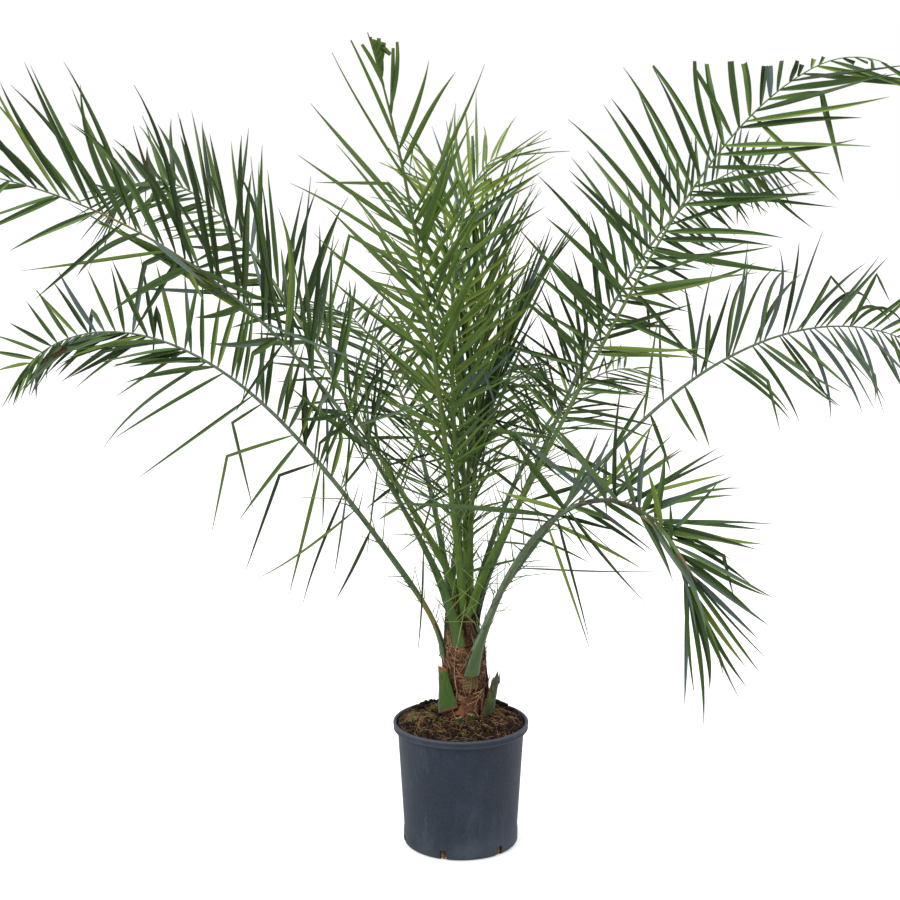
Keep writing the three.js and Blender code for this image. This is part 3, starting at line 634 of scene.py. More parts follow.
class Sock:
    """An output socket that takes part in Python expressions."""

    def __init__(self, surface, socket):
        self.surface, self.socket = surface, socket

    def _math(self, operation, first, second):
        return self.surface.node("ShaderNodeMath", dict(operation=operation), {0: first, 1: second})

    def __add__(self, other):
        return self._math("ADD", self, other)

    def __sub__(self, other):
        return self._math("SUBTRACT", self, other)

    def __rsub__(self, other):
        return self._math("SUBTRACT", other, self)

    def __mul__(self, other):
        return self._math("MULTIPLY", self, other)

    __radd__, __rmul__ = __add__, __mul__

    def between(self, low, high):
        """0 below low, 1 above high, and smooth between."""
        return self.surface.node("ShaderNodeMapRange", dict(interpolation_type="SMOOTHSTEP"),
                                 {"Value": self, "From Min": low, "From Max": high})


class Shading:
    """A node tree that hands out sockets for expressions."""

    def __init__(self, owner):
        owner.use_nodes = True
        self.tree = owner.node_tree
        self.tree.nodes.clear()

    def _set(self, socket, value):
        if isinstance(value, Sock):
            self.tree.links.new(value.socket, socket)
        else:
            socket.default_value = value

    def node(self, kind, settings=None, inputs=None, output=0):
        """Any node: its settings first, then the values or links of its sockets."""
        made = self.tree.nodes.new(kind)
        for key, value in (settings or {}).items():
            setattr(made, key, value)
        for key, value in (inputs or {}).items():
            self._set(made.inputs[key], value)
        return Sock(self, made.outputs[output])

    def place(self):
        return self.node("ShaderNodeTexCoord", output="Object")

    def along(self):
        """How far along its piece a point is, 0 to 1."""
        return self.node("ShaderNodeAttribute", dict(attribute_name="along"), output="Fac")

    def stretched(self, scale):
        """The place on the piece, scaled unevenly."""
        return self.node("ShaderNodeVectorMath", dict(operation="MULTIPLY"),
                         {0: self.place(), 1: scale})

    def noise(self, at, scale, detail=4.0, roughness=0.6):
        return self.node("ShaderNodeTexNoise", {}, {
            "Vector": at, "Scale": scale, "Detail": detail, "Roughness": roughness})

    def cells(self, at, scale):
        return self.node("ShaderNodeTexVoronoi", {}, {"Vector": at, "Scale": scale})

    def mix(self, share, first, second):
        """A colour between two colours."""
        pick = [(*c, 1) if isinstance(c, tuple) and len(c) == 3 else c for c in (first, second)]
        return self.node("ShaderNodeMix", dict(data_type="RGBA"), {0: share, 6: pick[0], 7: pick[1]},
                         output=2)


class Surface(Shading):
    """A material round one Principled shader."""

    def __init__(self, name, color, roughness, **plain):
        self.material = bpy.data.materials.new(name)
        super().__init__(self.material)
        self.shader = self.tree.nodes.new("ShaderNodeBsdfPrincipled")
        output = self.tree.nodes.new("ShaderNodeOutputMaterial")
        self.tree.links.new(self.shader.outputs[0], output.inputs["Surface"])
        self.material.diffuse_color = (*color, 1)
        self.feed("Base Color", (*color, 1))
        self.feed("Roughness", roughness)
        for key, value in plain.items():
            self.feed(key.replace("_", " "), value)

    def feed(self, socket, value):
        self._set(self.shader.inputs[socket], value)

    def bump(self, height, strength, distance):
        self.feed("Normal", self.node("ShaderNodeBump", {}, {
            "Height": height, "Strength": strength, "Distance": distance}))
        return self


def leaf_finish(name, color, gloss):
    """Waxy leaf. Its colour is plain, and only its gloss wanders."""
    skin = Surface(name, color, gloss, Specular_IOR_Level=0.2)
    skin.feed("Roughness", skin.noise(skin.place(), 90.0, 2.0) * 0.3 + (gloss - 0.15))
    return skin.material


def stalk_finish(name, color, rib_color, first=0.0, last=0.0, scar=None):
    """A ribbed stalk that changes colour towards its end, rubbed to a scar from first to last."""
    skin = Surface(name, color, 0.5, Specular_IOR_Level=0.3)
    grain = skin.noise(skin.stretched((60.0, 60.0, 9.0)), 3.0, 5.0)
    blotch = skin.noise(skin.place(), 26.0, 3.0)
    base = skin.mix(skin.along().between(0.12, 0.42), color, rib_color)
    base = skin.mix(grain.between(0.42, 0.66) * 0.55, base, scaled(color, 0.6))
    if scar:
        part = skin.along().between(first, first + 0.04) * (1 - skin.along().between(last - 0.04, last))
        base = skin.mix(part * blotch.between(0.36, 0.5), base, scar)
    skin.feed("Base Color", base)
    skin.feed("Roughness", blotch * 0.3 + 0.38)
    skin.bump(grain, 0.35, 0.0006)
    return skin.material


def bark_finish(name, dark, middle, pale, scale=150.0, deep=0.0018):
    """Matted fibre: fine criss-cross strands over darker gaps, with random dark patches of painted shade."""
    skin = Surface(name, middle, 0.85, Specular_IOR_Level=0.2)
    rising = skin.noise(skin.stretched((scale, scale, scale * 0.16)), 1.0, 6.0, 0.7)
    lying = skin.noise(skin.stretched((scale * 0.3, scale * 0.3, scale)), 1.0, 5.0, 0.7)
    matted = (rising + lying) * 0.5
    patch = skin.noise(skin.place(), 28.0, 3.0)
    base = skin.mix(matted.between(0.38, 0.6), dark, middle)
    base = skin.mix(matted.between(0.56, 0.72) * patch.between(0.35, 0.7), base, pale)
    # painted shade: random dark patches that stand for the deep shadows in the matted fibre
    base = skin.mix((1 - patch.between(0.34, 0.5)) * 0.7, base, dark)
    skin.feed("Base Color", base)
    skin.feed("Roughness", matted * 0.3 + 0.65)
    skin.bump(matted, 0.9, deep)
    return skin.material


def stub_finish(name, green, pale, cut):
    """A cut leaf base: green skin with faint veins, going dry and ragged at its cut."""
    skin = Surface(name, green, 0.5, Specular_IOR_Level=0.25)
    vein = skin.noise(skin.stretched((300.0, 300.0, 22.0)), 1.0, 4.0)
    blotch = skin.noise(skin.place(), 60.0, 5.0)
    base = skin.mix(vein.between(0.45, 0.72) * 0.7, green, pale)
    base = skin.mix(blotch.between(0.55, 0.75) * 0.5, base, scaled(green, 0.6))
    high = (skin.along() + (blotch - 0.5) * 0.22).between(0.93, 1.0)
    low = 1 - (skin.along() + (blotch - 0.5) * 0.1).between(0.02, 0.1)
    base = skin.mix(high, base, cut)
    base = skin.mix(low * 0.8, base, scaled(cut, 0.55))
    skin.feed("Base Color", base)
    skin.feed("Roughness", blotch * 0.25 + 0.4)
    skin.bump(vein, 0.4, 0.0008)
    return skin.material


def earth_finish(name, dark, middle, pale):
    """Gritty earth of three tones."""
    skin = Surface(name, middle, 0.95, Specular_IOR_Level=0.15)
    grit = skin.noise(skin.place(), 140.0, 6.0, 0.75)
    patch = skin.noise(skin.place(), 22.0, 3.0)
    base = skin.mix(grit.between(0.35, 0.6), dark, middle)
    base = skin.mix(grit.between(0.55, 0.75) * patch.between(0.4, 0.65), base, pale)
    skin.feed("Base Color", base)
    skin.bump(grit, 0.9, 0.003)
    return skin.material


def pot_finish(name, blue, dust):
    """Matt moulded plastic: faint flow marks, dried splashes, a dusty film that gathers low, a painted
    shadow under the rim, and painted highlights along the rim's bead and top edge.
    """
    skin = Surface(name, blue, 0.6, Specular_IOR_Level=0.24)
    place = skin.place()
    film = skin.noise(place, 7.0, 5.0, 0.6)
    streak = skin.noise(skin.stretched((38.0, 38.0, 4.0)), 1.0, 5.0, 0.65)
    speck = skin.cells(place, 210.0)
    fine = skin.noise(place, 420.0, 3.0)
    height = skin.along()
    smear = skin.noise(skin.stretched((30.0, 30.0, 9.0)), 1.0, 4.0, 0.7)
    shade = skin.mix(film.between(0.3, 0.7), scaled(blue, 0.8), scaled(blue, 1.2))
    # painted shadow: the wall darkens and turns bluer towards the rim, as in the shade the rim casts
    painted_rim_shadow = height.between(0.6, 0.93) * (1 - height.between(0.932, 0.938)) * 0.4
    shade = skin.mix(painted_rim_shadow, shade, (blue[0] * 0.55, blue[1] * 0.62, blue[2] * 0.8))
    shade = skin.mix(film.between(0.38, 0.66) * streak.between(0.34, 0.66) * 0.36, shade, dust)
    shade = skin.mix(smear.between(0.56, 0.68) * 0.22, shade, dust)
    shade = skin.mix(fine.between(0.42, 0.62) * 0.2, shade, dust)
    shade = skin.mix((1 - height.between(0.02, 0.26)) * film.between(0.3, 0.62) * 0.45, shade, dust)
    # painted highlight: a thin light line along the rim's lower bead
    painted_bead_highlight = height.between(0.932, 0.939) * (1 - height.between(0.943, 0.952))
    shade = skin.mix(painted_bead_highlight * fine.between(0.0, 0.6) * 0.75, shade, scaled(dust, 1.3))
    shade = skin.mix(height.between(0.94, 0.96) * 0.04, shade, dust)
    # painted highlight: a light band along the rim's top outer edge
    shade = skin.mix(height.between(0.975, 0.992) * 0.45 * fine.between(0.1, 0.6), shade,
                     scaled(dust, 1.2))
    shade = skin.mix((1 - speck.between(0.0, 0.16)) * film.between(0.5, 0.58) * 0.6, shade, dust)
    skin.feed("Base Color", shade)
    skin.feed("Roughness", film * 0.3 + streak * 0.12 + 0.42)
    skin.bump(fine * 0.35 + streak * 0.65, 0.25, 0.0006)
    return skin.material


def floor_finish(name, color):
    """A pale floor that glows a little, so that it stays even."""
    skin = Surface(name, color, 0.8, Specular_IOR_Level=0.1, Emission_Strength=0.42,
                   Emission_Color=(1, 1, 1, 1))
    skin.feed("Roughness", skin.noise(skin.place(), 3.0, 2.0) * 0.1 + 0.75)
    return skin.material


# How each finish is made: its maker, then what that is given. A name is one of the colours in
# PalmFinishes, a pair is a colour and how much lighter or darker it is, and the rest are plain values.
LEAF_GLOSS = dict(
    leaf_deep=0.46, leaf_mid=0.44, leaf_light=0.42, leaf_yellow=0.46, leaf_blue=0.5, leaf_under=0.55,
    leaf_under_blue=0.55, leaf_under_lit=0.5, leaf_dry=0.75, leaf_brown=0.8, spine=0.5, spine_dark=0.5,
    moss=0.8, moss_pale=0.8)
FINISHES = {
    **{key: (leaf_finish, key, gloss) for key, gloss in LEAF_GLOSS.items()},
    "stalk_outer": (stalk_finish, "stalk_blue", "rib_grey"),
    "stalk_inner": (stalk_finish, "stalk_green", "stalk_yellow"),
    "stalk_right": (stalk_finish, "stalk_green", "rib_green"),
    "stalk_left": (stalk_finish, "stalk_front", "rib_grey", 0.66, 0.84, "stalk_scar"),
    "stalk_droop": (stalk_finish, "stalk_base", "rib_grey", 0.58, 0.9, "cut_grey"),
    "stalk_bloom": (stalk_finish, "stalk_bloom", "rib_grey"),
    "stalk_edge": (stalk_finish, "stalk_blue", "rib_grey", 0.03, 0.14, "stalk_scar"),
    "bark": (bark_finish, "bark_dark", "bark_red", "fibre_tan", 260.0),
    "bark_black": (bark_finish, "bark_black", "bark_dark", "bark_red", 200.0, 0.003),
    "cut_end": (bark_finish, "bark_red", "cut_orange", "cut_pale", 200.0),
    "fibre_tan": (bark_finish, "fibre_brown", "fibre_tan", "fibre_pale"),
    "fibre_red": (bark_finish, "bark_red", "fibre_brown", "fibre_tan"),
    "fibre_dark": (bark_finish, "bark_black", "bark_dark", "bark_red"),
    "root_gold": (bark_finish, "bark_red", "root_gold", "fibre_pale"),
    "stub_fresh": (stub_finish, "stub_green", "stub_pale", "cut_orange"),
    "stub_old": (stub_finish, ("stub_green", 0.5), ("stub_green", 1.3), "cut_pale"),
    "stub_lit": (stub_finish, "stub_shade", "stub_lit", "cut_grey"),
    "stub_dark": (stub_finish, ("stalk_scar", 0.4), "fibre_brown", "cut_grey"),
    "soil_earth": (earth_finish, "soil_dark", "soil_brown", "soil_tan"),
    "crumb_dark": (earth_finish, "bark_black", "soil_dark", "soil_brown"),
    "crumb_brown": (earth_finish, "soil_dark", "soil_brown", "soil_tan"),
    "crumb_tan": (earth_finish, "soil_brown", "soil_tan", "fibre_tan"),
    "pot_plastic": (pot_finish, "pot_blue", "pot_dust"),
    "studio_floor": (floor_finish, "floor"),
}


def finish(key):
    """The material of that name, made the first time it is asked for."""
    tones = bpy.context.scene.palm_finishes

    def read(value):
        if isinstance(value, str):
            return tuple(getattr(tones, value))
        if isinstance(value, tuple):
            return scaled(read(value[0]), value[1])
        return value

    maker, *given = FINISHES[key]
    return bpy.data.materials.get(key) or maker(key, *map(read, given))


# ---- sizes and colours that a user may change ----


def tone(label, red, green, blue):
    return FloatVectorProperty(name=label, description=f"Colour of the {label.lower()}", size=3, min=0,
                               max=1, subtype="COLOR", default=srgb(red, green, blue))


class PalmFinishes(PropertyGroup):
    """Colours of the leaves, the trunk, the soil and the pot."""

    leaf_deep: tone("Deep green leaflets", 39, 55, 25)
    leaf_mid: tone("Middle green leaflets", 58, 82, 37)
    leaf_light: tone("Light green leaflets", 82, 108, 52)
    leaf_yellow: tone("Yellow green leaflets", 114, 134, 56)
    leaf_blue: tone("Blue green leaflets", 84, 100, 92)
    leaf_under: tone("Undersides of outer leaflets", 56, 75, 41)
    leaf_under_blue: tone("Undersides of the low fronds", 82, 96, 80)
    leaf_under_lit: tone("Undersides of inner leaflets", 78, 104, 38)
    leaf_dry: tone("Dry leaflet ends", 106, 94, 58)
    leaf_brown: tone("Dead leaflet ends", 66, 46, 26)
    stalk_blue: tone("Outer stalks", 74, 100, 60)
    stalk_green: tone("Middle stalks", 80, 108, 34)
    stalk_yellow: tone("Inner stalks", 82, 104, 44)
    rib_grey: tone("Ribs of the outer fronds", 102, 118, 92)
    rib_green: tone("Rib of the right front frond", 92, 114, 60)
    stalk_base: tone("Feet of the front stalks", 72, 98, 54)
    stalk_front: tone("Foot of the front left stalk", 60, 88, 34)
    # Paler edges: partly the stalks' pale waxy coat, partly a painted highlight.
    stalk_bloom: tone("Edges of the stalks", 104, 118, 100)
    stalk_scar: tone("Scars on the stalks", 112, 104, 48)
    spine: tone("Spines", 124, 146, 78)
    spine_dark: tone("Dark spines", 72, 94, 52)
    bark_black: tone("Old fibre", 22, 18, 16)
    bark_dark: tone("Dark fibre", 46, 31, 24)
    bark_red: tone("Red fibre", 114, 74, 52)
    fibre_brown: tone("Brown fibre", 152, 114, 83)
    fibre_tan: tone("Tan fibre", 194, 158, 120)
    fibre_pale: tone("Pale fibre", 222, 194, 160)
    stub_green: tone("Cut leaf bases", 50, 78, 19)
    stub_pale: tone("Veins of the leaf bases", 84, 112, 38)
    stub_shade: tone("Right leaf base, dark side", 42, 62, 26)
    stub_lit: tone("Right leaf base, lit side", 108, 120, 54)
    cut_pale: tone("Dry cut edges", 160, 132, 106)
    cut_orange: tone("Fresh cut ends", 138, 84, 56)
    cut_grey: tone("Old cut ends", 84, 70, 62)
    soil_dark: tone("Wet soil", 28, 19, 14)
    soil_brown: tone("Soil", 49, 35, 25)
    soil_tan: tone("Dry soil", 93, 70, 47)
    moss: tone("Moss", 108, 110, 42)
    moss_pale: tone("Dry moss", 164, 150, 88)
    root_gold: tone("Roots in the drain slots", 204, 168, 98)
    pot_blue: tone("Pot", 34, 42, 56)
    # Also made lighter for the painted highlights along the pot's rim.
    pot_dust: tone("Dust on the pot", 80, 88, 97)
    floor: tone("Floor", 236, 236, 236)


def number(label, text, default, least=0):
    return IntProperty(name=label, description=text, default=default, min=least)


class PalmSizes(PropertyGroup):
    """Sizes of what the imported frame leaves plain."""

    leaflet_fold: FloatProperty(
        name="Leaflet fold", description="How far each half of a leaflet is folded up from flat",
        default=math.radians(30), min=0, max=1.2, subtype="ANGLE")
    leaflet_thickness: FloatProperty(
        name="Leaflet thickness", description="Depth of a leaflet at its midrib", default=0.0009,
        min=0.0003, unit="LENGTH")
    spine_length: FloatProperty(
        name="Spine length", description="Length of the longest spines on the stalks", default=0.130,
        min=0.01, unit="LENGTH")
    spine_count: number("Spines a side", "Spines on each side of a stalk", 11)
    strand_count: number("Trunk strands", "Thin fibres over the trunk, with half as many thick ones", 620)
    crumb_count: number("Soil crumbs", "Lumps lying on the soil, beside those in heaps", 1500)
    straw_count: number("Soil fibres", "Fibres lying on the soil", 720)
    tuft_count: number("Moss tufts", "Tufts of moss on the soil", 70, 1)
    slot_count: number("Drain slots", "Slots round the foot of the pot", 6, 1)


# ---- pot ----

BASE_RADIUS, SHOULDER_RADIUS, RIM_BAND, POT_WALL, POT_FLOOR = 0.124, 0.140, 0.0175, 0.003, 0.004
SLOT_WIDTH, SLOT_HEIGHT, SLOT_DEPTH, FIRST_SLOT = 0.015, 0.022, 0.016, 252
FOOT_BAND, FOOT_PROUD = 0.034, 0.0015  # the wall stands out a little near the floor
POT_SIDES = 144


def pot_radius(z):
    """The outside of the wall at a height."""
    return BASE_RADIUS + (SHOULDER_RADIUS + 0.001 - BASE_RADIUS) * z / POT_HEIGHT


def arc(centre, radius, start, end, count=7):
    """Points on part of an ellipse, from the axis out and up."""
    turn = np.radians(np.linspace(start, end, count))
    return [(centre[0] + radius[0] * math.cos(t), centre[1] + radius[1] * math.sin(t)) for t in turn]


def pot_profile():
    """Half the pot's section: up the outside, over the rolled rim and down the inside."""
    band = POT_HEIGHT - RIM_BAND
    foot = pot_radius(FOOT_BAND) + FOOT_PROUD
    rim = RIM_RADIUS
    profile = [(0.0, 0.0), (0.045, 0.0), (0.1, 0.0)]
    profile += arc((foot - 0.010, 0.009), (0.010, 0.009), -90, 0)
    profile += [(foot, 0.020), (foot, 0.029)]
    profile += [(pot_radius(FOOT_BAND) + 0.0009, 0.0335), (pot_radius(0.038), 0.038)]
    profile += [(pot_radius(z), z) for z in (0.06, 0.10, 0.14, 0.18, 0.22)]
    profile += [(SHOULDER_RADIUS - 0.0004, band - 0.006), (SHOULDER_RADIUS + 0.0006, band - 0.001)]
    profile += [(SHOULDER_RADIUS + 0.004, band + 0.0005), (rim - 0.0035, band + 0.0010)]
    profile += arc((rim - 0.0030, band + 0.0034), (0.0024, 0.0024), -80, 60, 6)
    profile += [(rim - 0.0020, band + 0.0066), (rim - 0.0016, band + 0.010)]
    profile += [(rim - 0.0012, POT_HEIGHT - 0.0065), (rim - 0.0002, POT_HEIGHT - 0.0045)]
    profile += arc((rim - 0.0035, POT_HEIGHT - 0.0030), (0.0035, 0.0030), -10, 180, 12)
    profile += [(rim - 0.0078, POT_HEIGHT - 0.008), (rim - 0.0098, band - 0.002)]
    profile += [(pot_radius(z) - POT_WALL, z) for z in (0.18, 0.10, 0.012)]
    profile += [(pot_radius(0) - POT_WALL - 0.004, POT_FLOOR), (0.0, POT_FLOOR)]
    return profile


def slot_turns(count):
    """The azimuths of the drain slots."""
    return [FIRST_SLOT + i * 360 / count for i in range(count)]


def build_pot(sizes):
    """The shell, spun from its profile and cut by its drain slots."""
    bm = bmesh.new()
    points = [bm.verts.new((r, 0, z)) for r, z in pot_profile()]
    edges = [bm.edges.new(pair) for pair in zip(points, points[1:])]
    bmesh.ops.spin(bm, geom=points + edges, cent=(0, 0, 0), axis=(0, 0, 1), angle=2 * math.pi,
                   steps=POT_SIDES)
    bmesh.ops.remove_doubles(bm, verts=bm.verts, dist=2e-5)
    bmesh.ops.recalc_face_normals(bm, faces=bm.faces)
    mesh = bpy.data.meshes.new("pot_shell")
    bm.to_mesh(mesh)
    bm.free()
    pot = put("pot_shell", mesh)
    cutter = Shape()
    corner = SLOT_WIDTH / 2
    ring = [(-corner, -0.01), (corner, -0.01), (corner, SLOT_HEIGHT - 0.002), (corner - 0.002, SLOT_HEIGHT),
            (0.002 - corner, SLOT_HEIGHT), (-corner, SLOT_HEIGHT - 0.002)]
    ends = [BASE_RADIUS - SLOT_DEPTH, BASE_RADIUS + SLOT_DEPTH]
    for azimuth in slot_turns(sizes.slot_count):
        out, across = polar(azimuth, 1.0, 0.0), polar(azimuth + 90, 1.0, 0.0)
        rings = np.array([[out * end + across * x + np.array([0, 0, z]) for x, z in ring]
                          for end in ends])
        cutter.tubes(rings[None])
    mesh = bpy.data.meshes.new("slot_cutter")
    mesh.from_pydata(np.concatenate(cutter.points).tolist(), [], cutter.faces)
    tool = put("slot_cutter", mesh)
    cut = pot.modifiers.new("slots", "BOOLEAN")
    cut.object, cut.operation, cut.solver = tool, "DIFFERENCE", "EXACT"
    graph = bpy.context.evaluated_depsgraph_get()
    result = bpy.data.meshes.new_from_object(pot.evaluated_get(graph))
    pot.modifiers.clear()
    pot.data = result
    bpy.data.objects.remove(tool)
    if len(result.polygons) < POT_SIDES * 20:
        raise RuntimeError("the drain slots could not be cut in the pot")
    dress(result, ["pot_plastic"], [v.co.z / POT_HEIGHT for v in result.vertices], 40)
    result.update()
    return settle(pot, ["pot"])


def build_roots(sizes, rng):
    """Fine roots matted behind each drain slot."""
    roots = Shape()
    count, rings = 30, 7
    half, low, high = 0.0085, 0.0012, 0.0215  # the roots stay inside this part of the slot
    for azimuth in slot_turns(sizes.slot_count):
        start = rng.uniform((-half, low), (half, 0.019), (count, 2))
        paths = np.zeros((count, rings, 3))
        for k in range(count):
            run = rng.uniform(-0.006, 0.006)
            for j in range(rings):
                share = j / (rings - 1) - 0.5
                across = np.clip(start[k, 0] + run * share, -half, half)
                z = np.clip(start[k, 1] + share * rng.uniform(0.012, 0.018), low, high)
                depth = pot_radius(z) - 0.0052 + 0.0012 * math.sin(k * 1.7 + j * 1.3)
                paths[k, j] = polar(azimuth, depth, z) + polar(azimuth + 90, across, 0.0)
        radii = np.full((count, rings), 0.0007) * rng.uniform(0.7, 1.4, (count, 1))
        roots.tubes(strands(paths, radii), rng.integers(0, 2, (count, 1, 1)))
    return roots.build("slot_roots", ["root_gold", "fibre_red"], slot="soil")


# ---- soil ----

SOIL_RADIUS, MOUND_RADIUS, SOIL_EDGE = 0.1385, 0.064, 0.2735


def soil_height(x, y):
    """The top of the soil without its lumps: a low mound."""
    share = np.clip((SOIL_RADIUS - np.hypot(x, y)) / (SOIL_RADIUS - MOUND_RADIUS), 0, 1)
    return SOIL_EDGE + (SOIL_TOP - SOIL_EDGE - 0.001) * np.sin(share * math.pi / 2)


def soil_relief(x, y):
    """The soil's lumps, fading towards the wall."""
    flat = np.stack([x, y, np.zeros_like(x)], -1)
    fade = np.clip((0.141 - np.hypot(x, y)) / 0.01, 0.2, 1)
    return (rough(flat, 26.0, 3.0, 5) * 0.0045 + rough(flat, 90.0, 8.0, 3) * 0.0018) * fade


def build_soil():
    """The root ball: a lumpy top, and skirts down to the pot's floor."""
    turns, rows = 168, 60
    radii = np.linspace(0.002, 0.1388, rows)
    t = loop(turns)
    x, y = radii[:, None] * np.cos(t), radii[:, None] * np.sin(t)
    z = soil_height(x, y) + soil_relief(x, y)
    top = np.stack([x, y, z], -1)
    skirts = [top]
    for height in (0.245, 0.12, 0.008):
        radius = np.full(turns, pot_radius(height) - POT_WALL - 0.0025)
        skirts.append(np.stack([radius * np.cos(t), radius * np.sin(t), np.full(turns, height)], -1)[None])
    skirts.append(skirts[-1] * [0.9, 0.9, 1] - [0, 0, 0.003])
    rings = np.concatenate(skirts)
    soil = Shape().tubes(rings[None])
    return soil.build("soil_surface", ["soil_earth"], sharp=60, slot="soil", stands_for=["soil"])


def ball():
    """A small coarse ball, as points and faces."""
    bm = bmesh.new()
    bmesh.ops.create_icosphere(bm, subdivisions=1, radius=1.0)
    points = np.array([v.co[:] for v in bm.verts])
    faces = [[v.index for v in f.verts] for f in bm.faces]
    bm.free()
    return points, faces


# Heaps of larger lumps: azimuth, distance, how many, and how high they pile up.
HEAPS = (
    (48, 0.124, 40, 0.012), (28, 0.122, 22, 0.006), (138, 0.120, 34, 0.009), (152, 0.100, 26, 0.008),
    (118, 0.112, 20, 0.006), (300, 0.062, 10, 0.0),
)


def build_crumbs(sizes, rng):
    """Lumps of peat and bark all over the soil, and larger ones in heaps."""
    crumbs = Shape()
    points, faces = ball()

    def lump(size):
        return points * (1 + rng.uniform(-0.3, 0.3, (len(points), 1))) * size

    for _ in range(sizes.crumb_count):
        azimuth, radius = rng.uniform(0, 360), 0.136 * math.sqrt(rng.uniform(0.12, 1))
        size = rng.uniform(0.0011, 0.0034) * (1.6 if rng.random() < 0.08 else 1)
        x, y, _ = polar(azimuth, radius, 0.0)
        z = float(soil_height(x, y)) + float(soil_relief(np.array([x]), np.array([y]))[0])
        crumb = lump(size) * rng.uniform(0.6, 1.3, 3) + [x, y, z + size * 0.3]
        crumbs.faces_of(crumb, faces, int(rng.choice(3, p=(0.45, 0.42, 0.13))))
    for azimuth, radius, count, rise in HEAPS:
        for _ in range(count):
            x, y, _ = polar(azimuth + rng.normal(0, 8), min(radius + rng.normal(0, 0.007), 0.132), 0.0)
            size = rng.uniform(0.003, 0.0068)
            crumb = lump(size)
            z = float(soil_height(x, y)) + rng.uniform(0, 1) * rise + size * 0.2
            crumbs.faces_of(crumb + [x, y, z], faces, int(rng.choice(2, p=(0.75, 0.25))))
    return crumbs.build("soil_crumbs", ["crumb_dark", "crumb_brown", "crumb_tan"], sharp=180, slot="soil")


def build_straw(sizes, rng):
    """Fibres lying about on the soil."""
    count, rings = sizes.straw_count, 7
    azimuth = rng.uniform(0, 360, count)
    radius = 0.130 * np.sqrt(rng.uniform(0.15, 1, count))
    start = polar(azimuth, radius, 0.0)
    heading, bend = rng.uniform(0, 360, count), rng.uniform(-90, 90, count)
    length = rng.uniform(0.012, 0.050, count)
    share = np.linspace(0, 1, rings)
    turn = heading[:, None] + bend[:, None] * share
    step = polar(turn, length[:, None] / rings, 0.0)
    paths = start[:, None, :] + np.cumsum(step, 1)
    over = np.hypot(paths[..., 0], paths[..., 1])
    paths[..., :2] *= np.minimum(1, 0.137 / np.maximum(over, 1e-6))[..., None]
    arch = np.sin(share * math.pi)[None, :] * rng.uniform(0.0, 0.006, count)[:, None]
    paths[..., 2] = soil_height(paths[..., 0], paths[..., 1]) + 0.0015 + arch
    radii = np.interp(share, (0, 0.5, 1), (0.6, 1, 0.35)) * rng.uniform(0.00018, 0.00038, (count, 1))
    straw = Shape().tubes(strands(paths, radii, 4), rng.choice(4, (count, 1, 1), p=(0.44, 0.22, 0.2, 0.14)))
    return straw.build("soil_fibres", ["fibre_tan", "fibre_red", "fibre_dark", "root_gold"], sharp=180,
                       slot="soil")


def build_moss(sizes, rng):
    """Tufts of moss and seedlings, most on the left."""
    blades, rings = 16, 4
    moss = Shape()
    for _ in range(sizes.tuft_count):
        left = rng.random() < 0.62
        azimuth = rng.normal(172, 22) if left else rng.uniform(0, 360)
        x, y, _ = polar(azimuth, rng.uniform(0.068, 0.122), 0.0)
        foot = np.array([x, y, float(soil_height(x, y)) + 0.001])
        start = foot + np.column_stack([rng.normal(0, 0.0035, (blades, 2)), np.zeros(blades)])
        out = np.column_stack([rng.normal(0, 0.75, (blades, 2)), np.ones(blades)])
        length = rng.uniform(0.003, 0.009, (blades, 1, 1))
        share = np.linspace(0, 1, rings)[None, :, None]
        sag = np.array([0, 0, -0.35]) * share ** 2
        paths = start[:, None, :] + (unit(out)[:, None, :] * share + sag) * length
        radii = np.broadcast_to(np.interp(share[0, :, 0], (0, 1), (0.0006, 0.0002)), (blades, rings))
        moss.tubes(strands(paths, radii, 3), rng.choice(2, (blades, 1, 1), p=(0.7, 0.3)))
    return moss.build("soil_moss", ["moss", "moss_pale"], sharp=180, slot="soil")


# ---- trunk ----


def trunk_axis(share):
    """How far the trunk's middle stands from the pot's, at a share of the trunk's height."""
    return np.stack([0.0055 + 0.0025 * share, -0.004 * share, np.zeros_like(share)], -1)


def trunk_radius(share):
    """The trunk's taper, with a flare at the foot."""
    height = share * (TRUNK_TOP - TRUNK_FOOT)
    flare = 0.005 * (1 - np.clip(height / 0.03, 0, 1)) ** 2
    shoulder = np.clip((share - 0.65) / 0.35, 0, 1) ** 1.8
    return 0.0462 - 0.012 * shoulder + flare


def trunk_relief(azimuth, share):
    """Overlapping leaf bases, each a pointed scale, with matted fibre between them."""
    rise = 0.0
    for row in range(6):
        for column in range(5):
            centre = column * 72 + row * 137.5
            near = (azimuth - centre + 180) % 360 - 180
            foot = row * 0.17 - 0.06
            up = (share - foot) / 0.34
            half = 34 * np.clip(1 - np.abs(up - 0.35), 0.15, 1)
            inside = np.clip(1 - np.abs(near) / half, 0, 1) * np.clip(np.minimum(up * 5, (1 - up) * 3), 0, 1)
            rise = np.maximum(rise, np.sqrt(inside) * (1 - 0.35 * up))
    return rise


def on_trunk(azimuth, share, proud=0.0):
    """Places on the trunk's skin, or a little proud of it."""
    radius = trunk_radius(share) - 0.008 + 0.0095 * trunk_relief(azimuth, share) + proud
    z = TRUNK_FOOT + share * (TRUNK_TOP - TRUNK_FOOT)
    return polar(azimuth, radius, z) + trunk_axis(share)


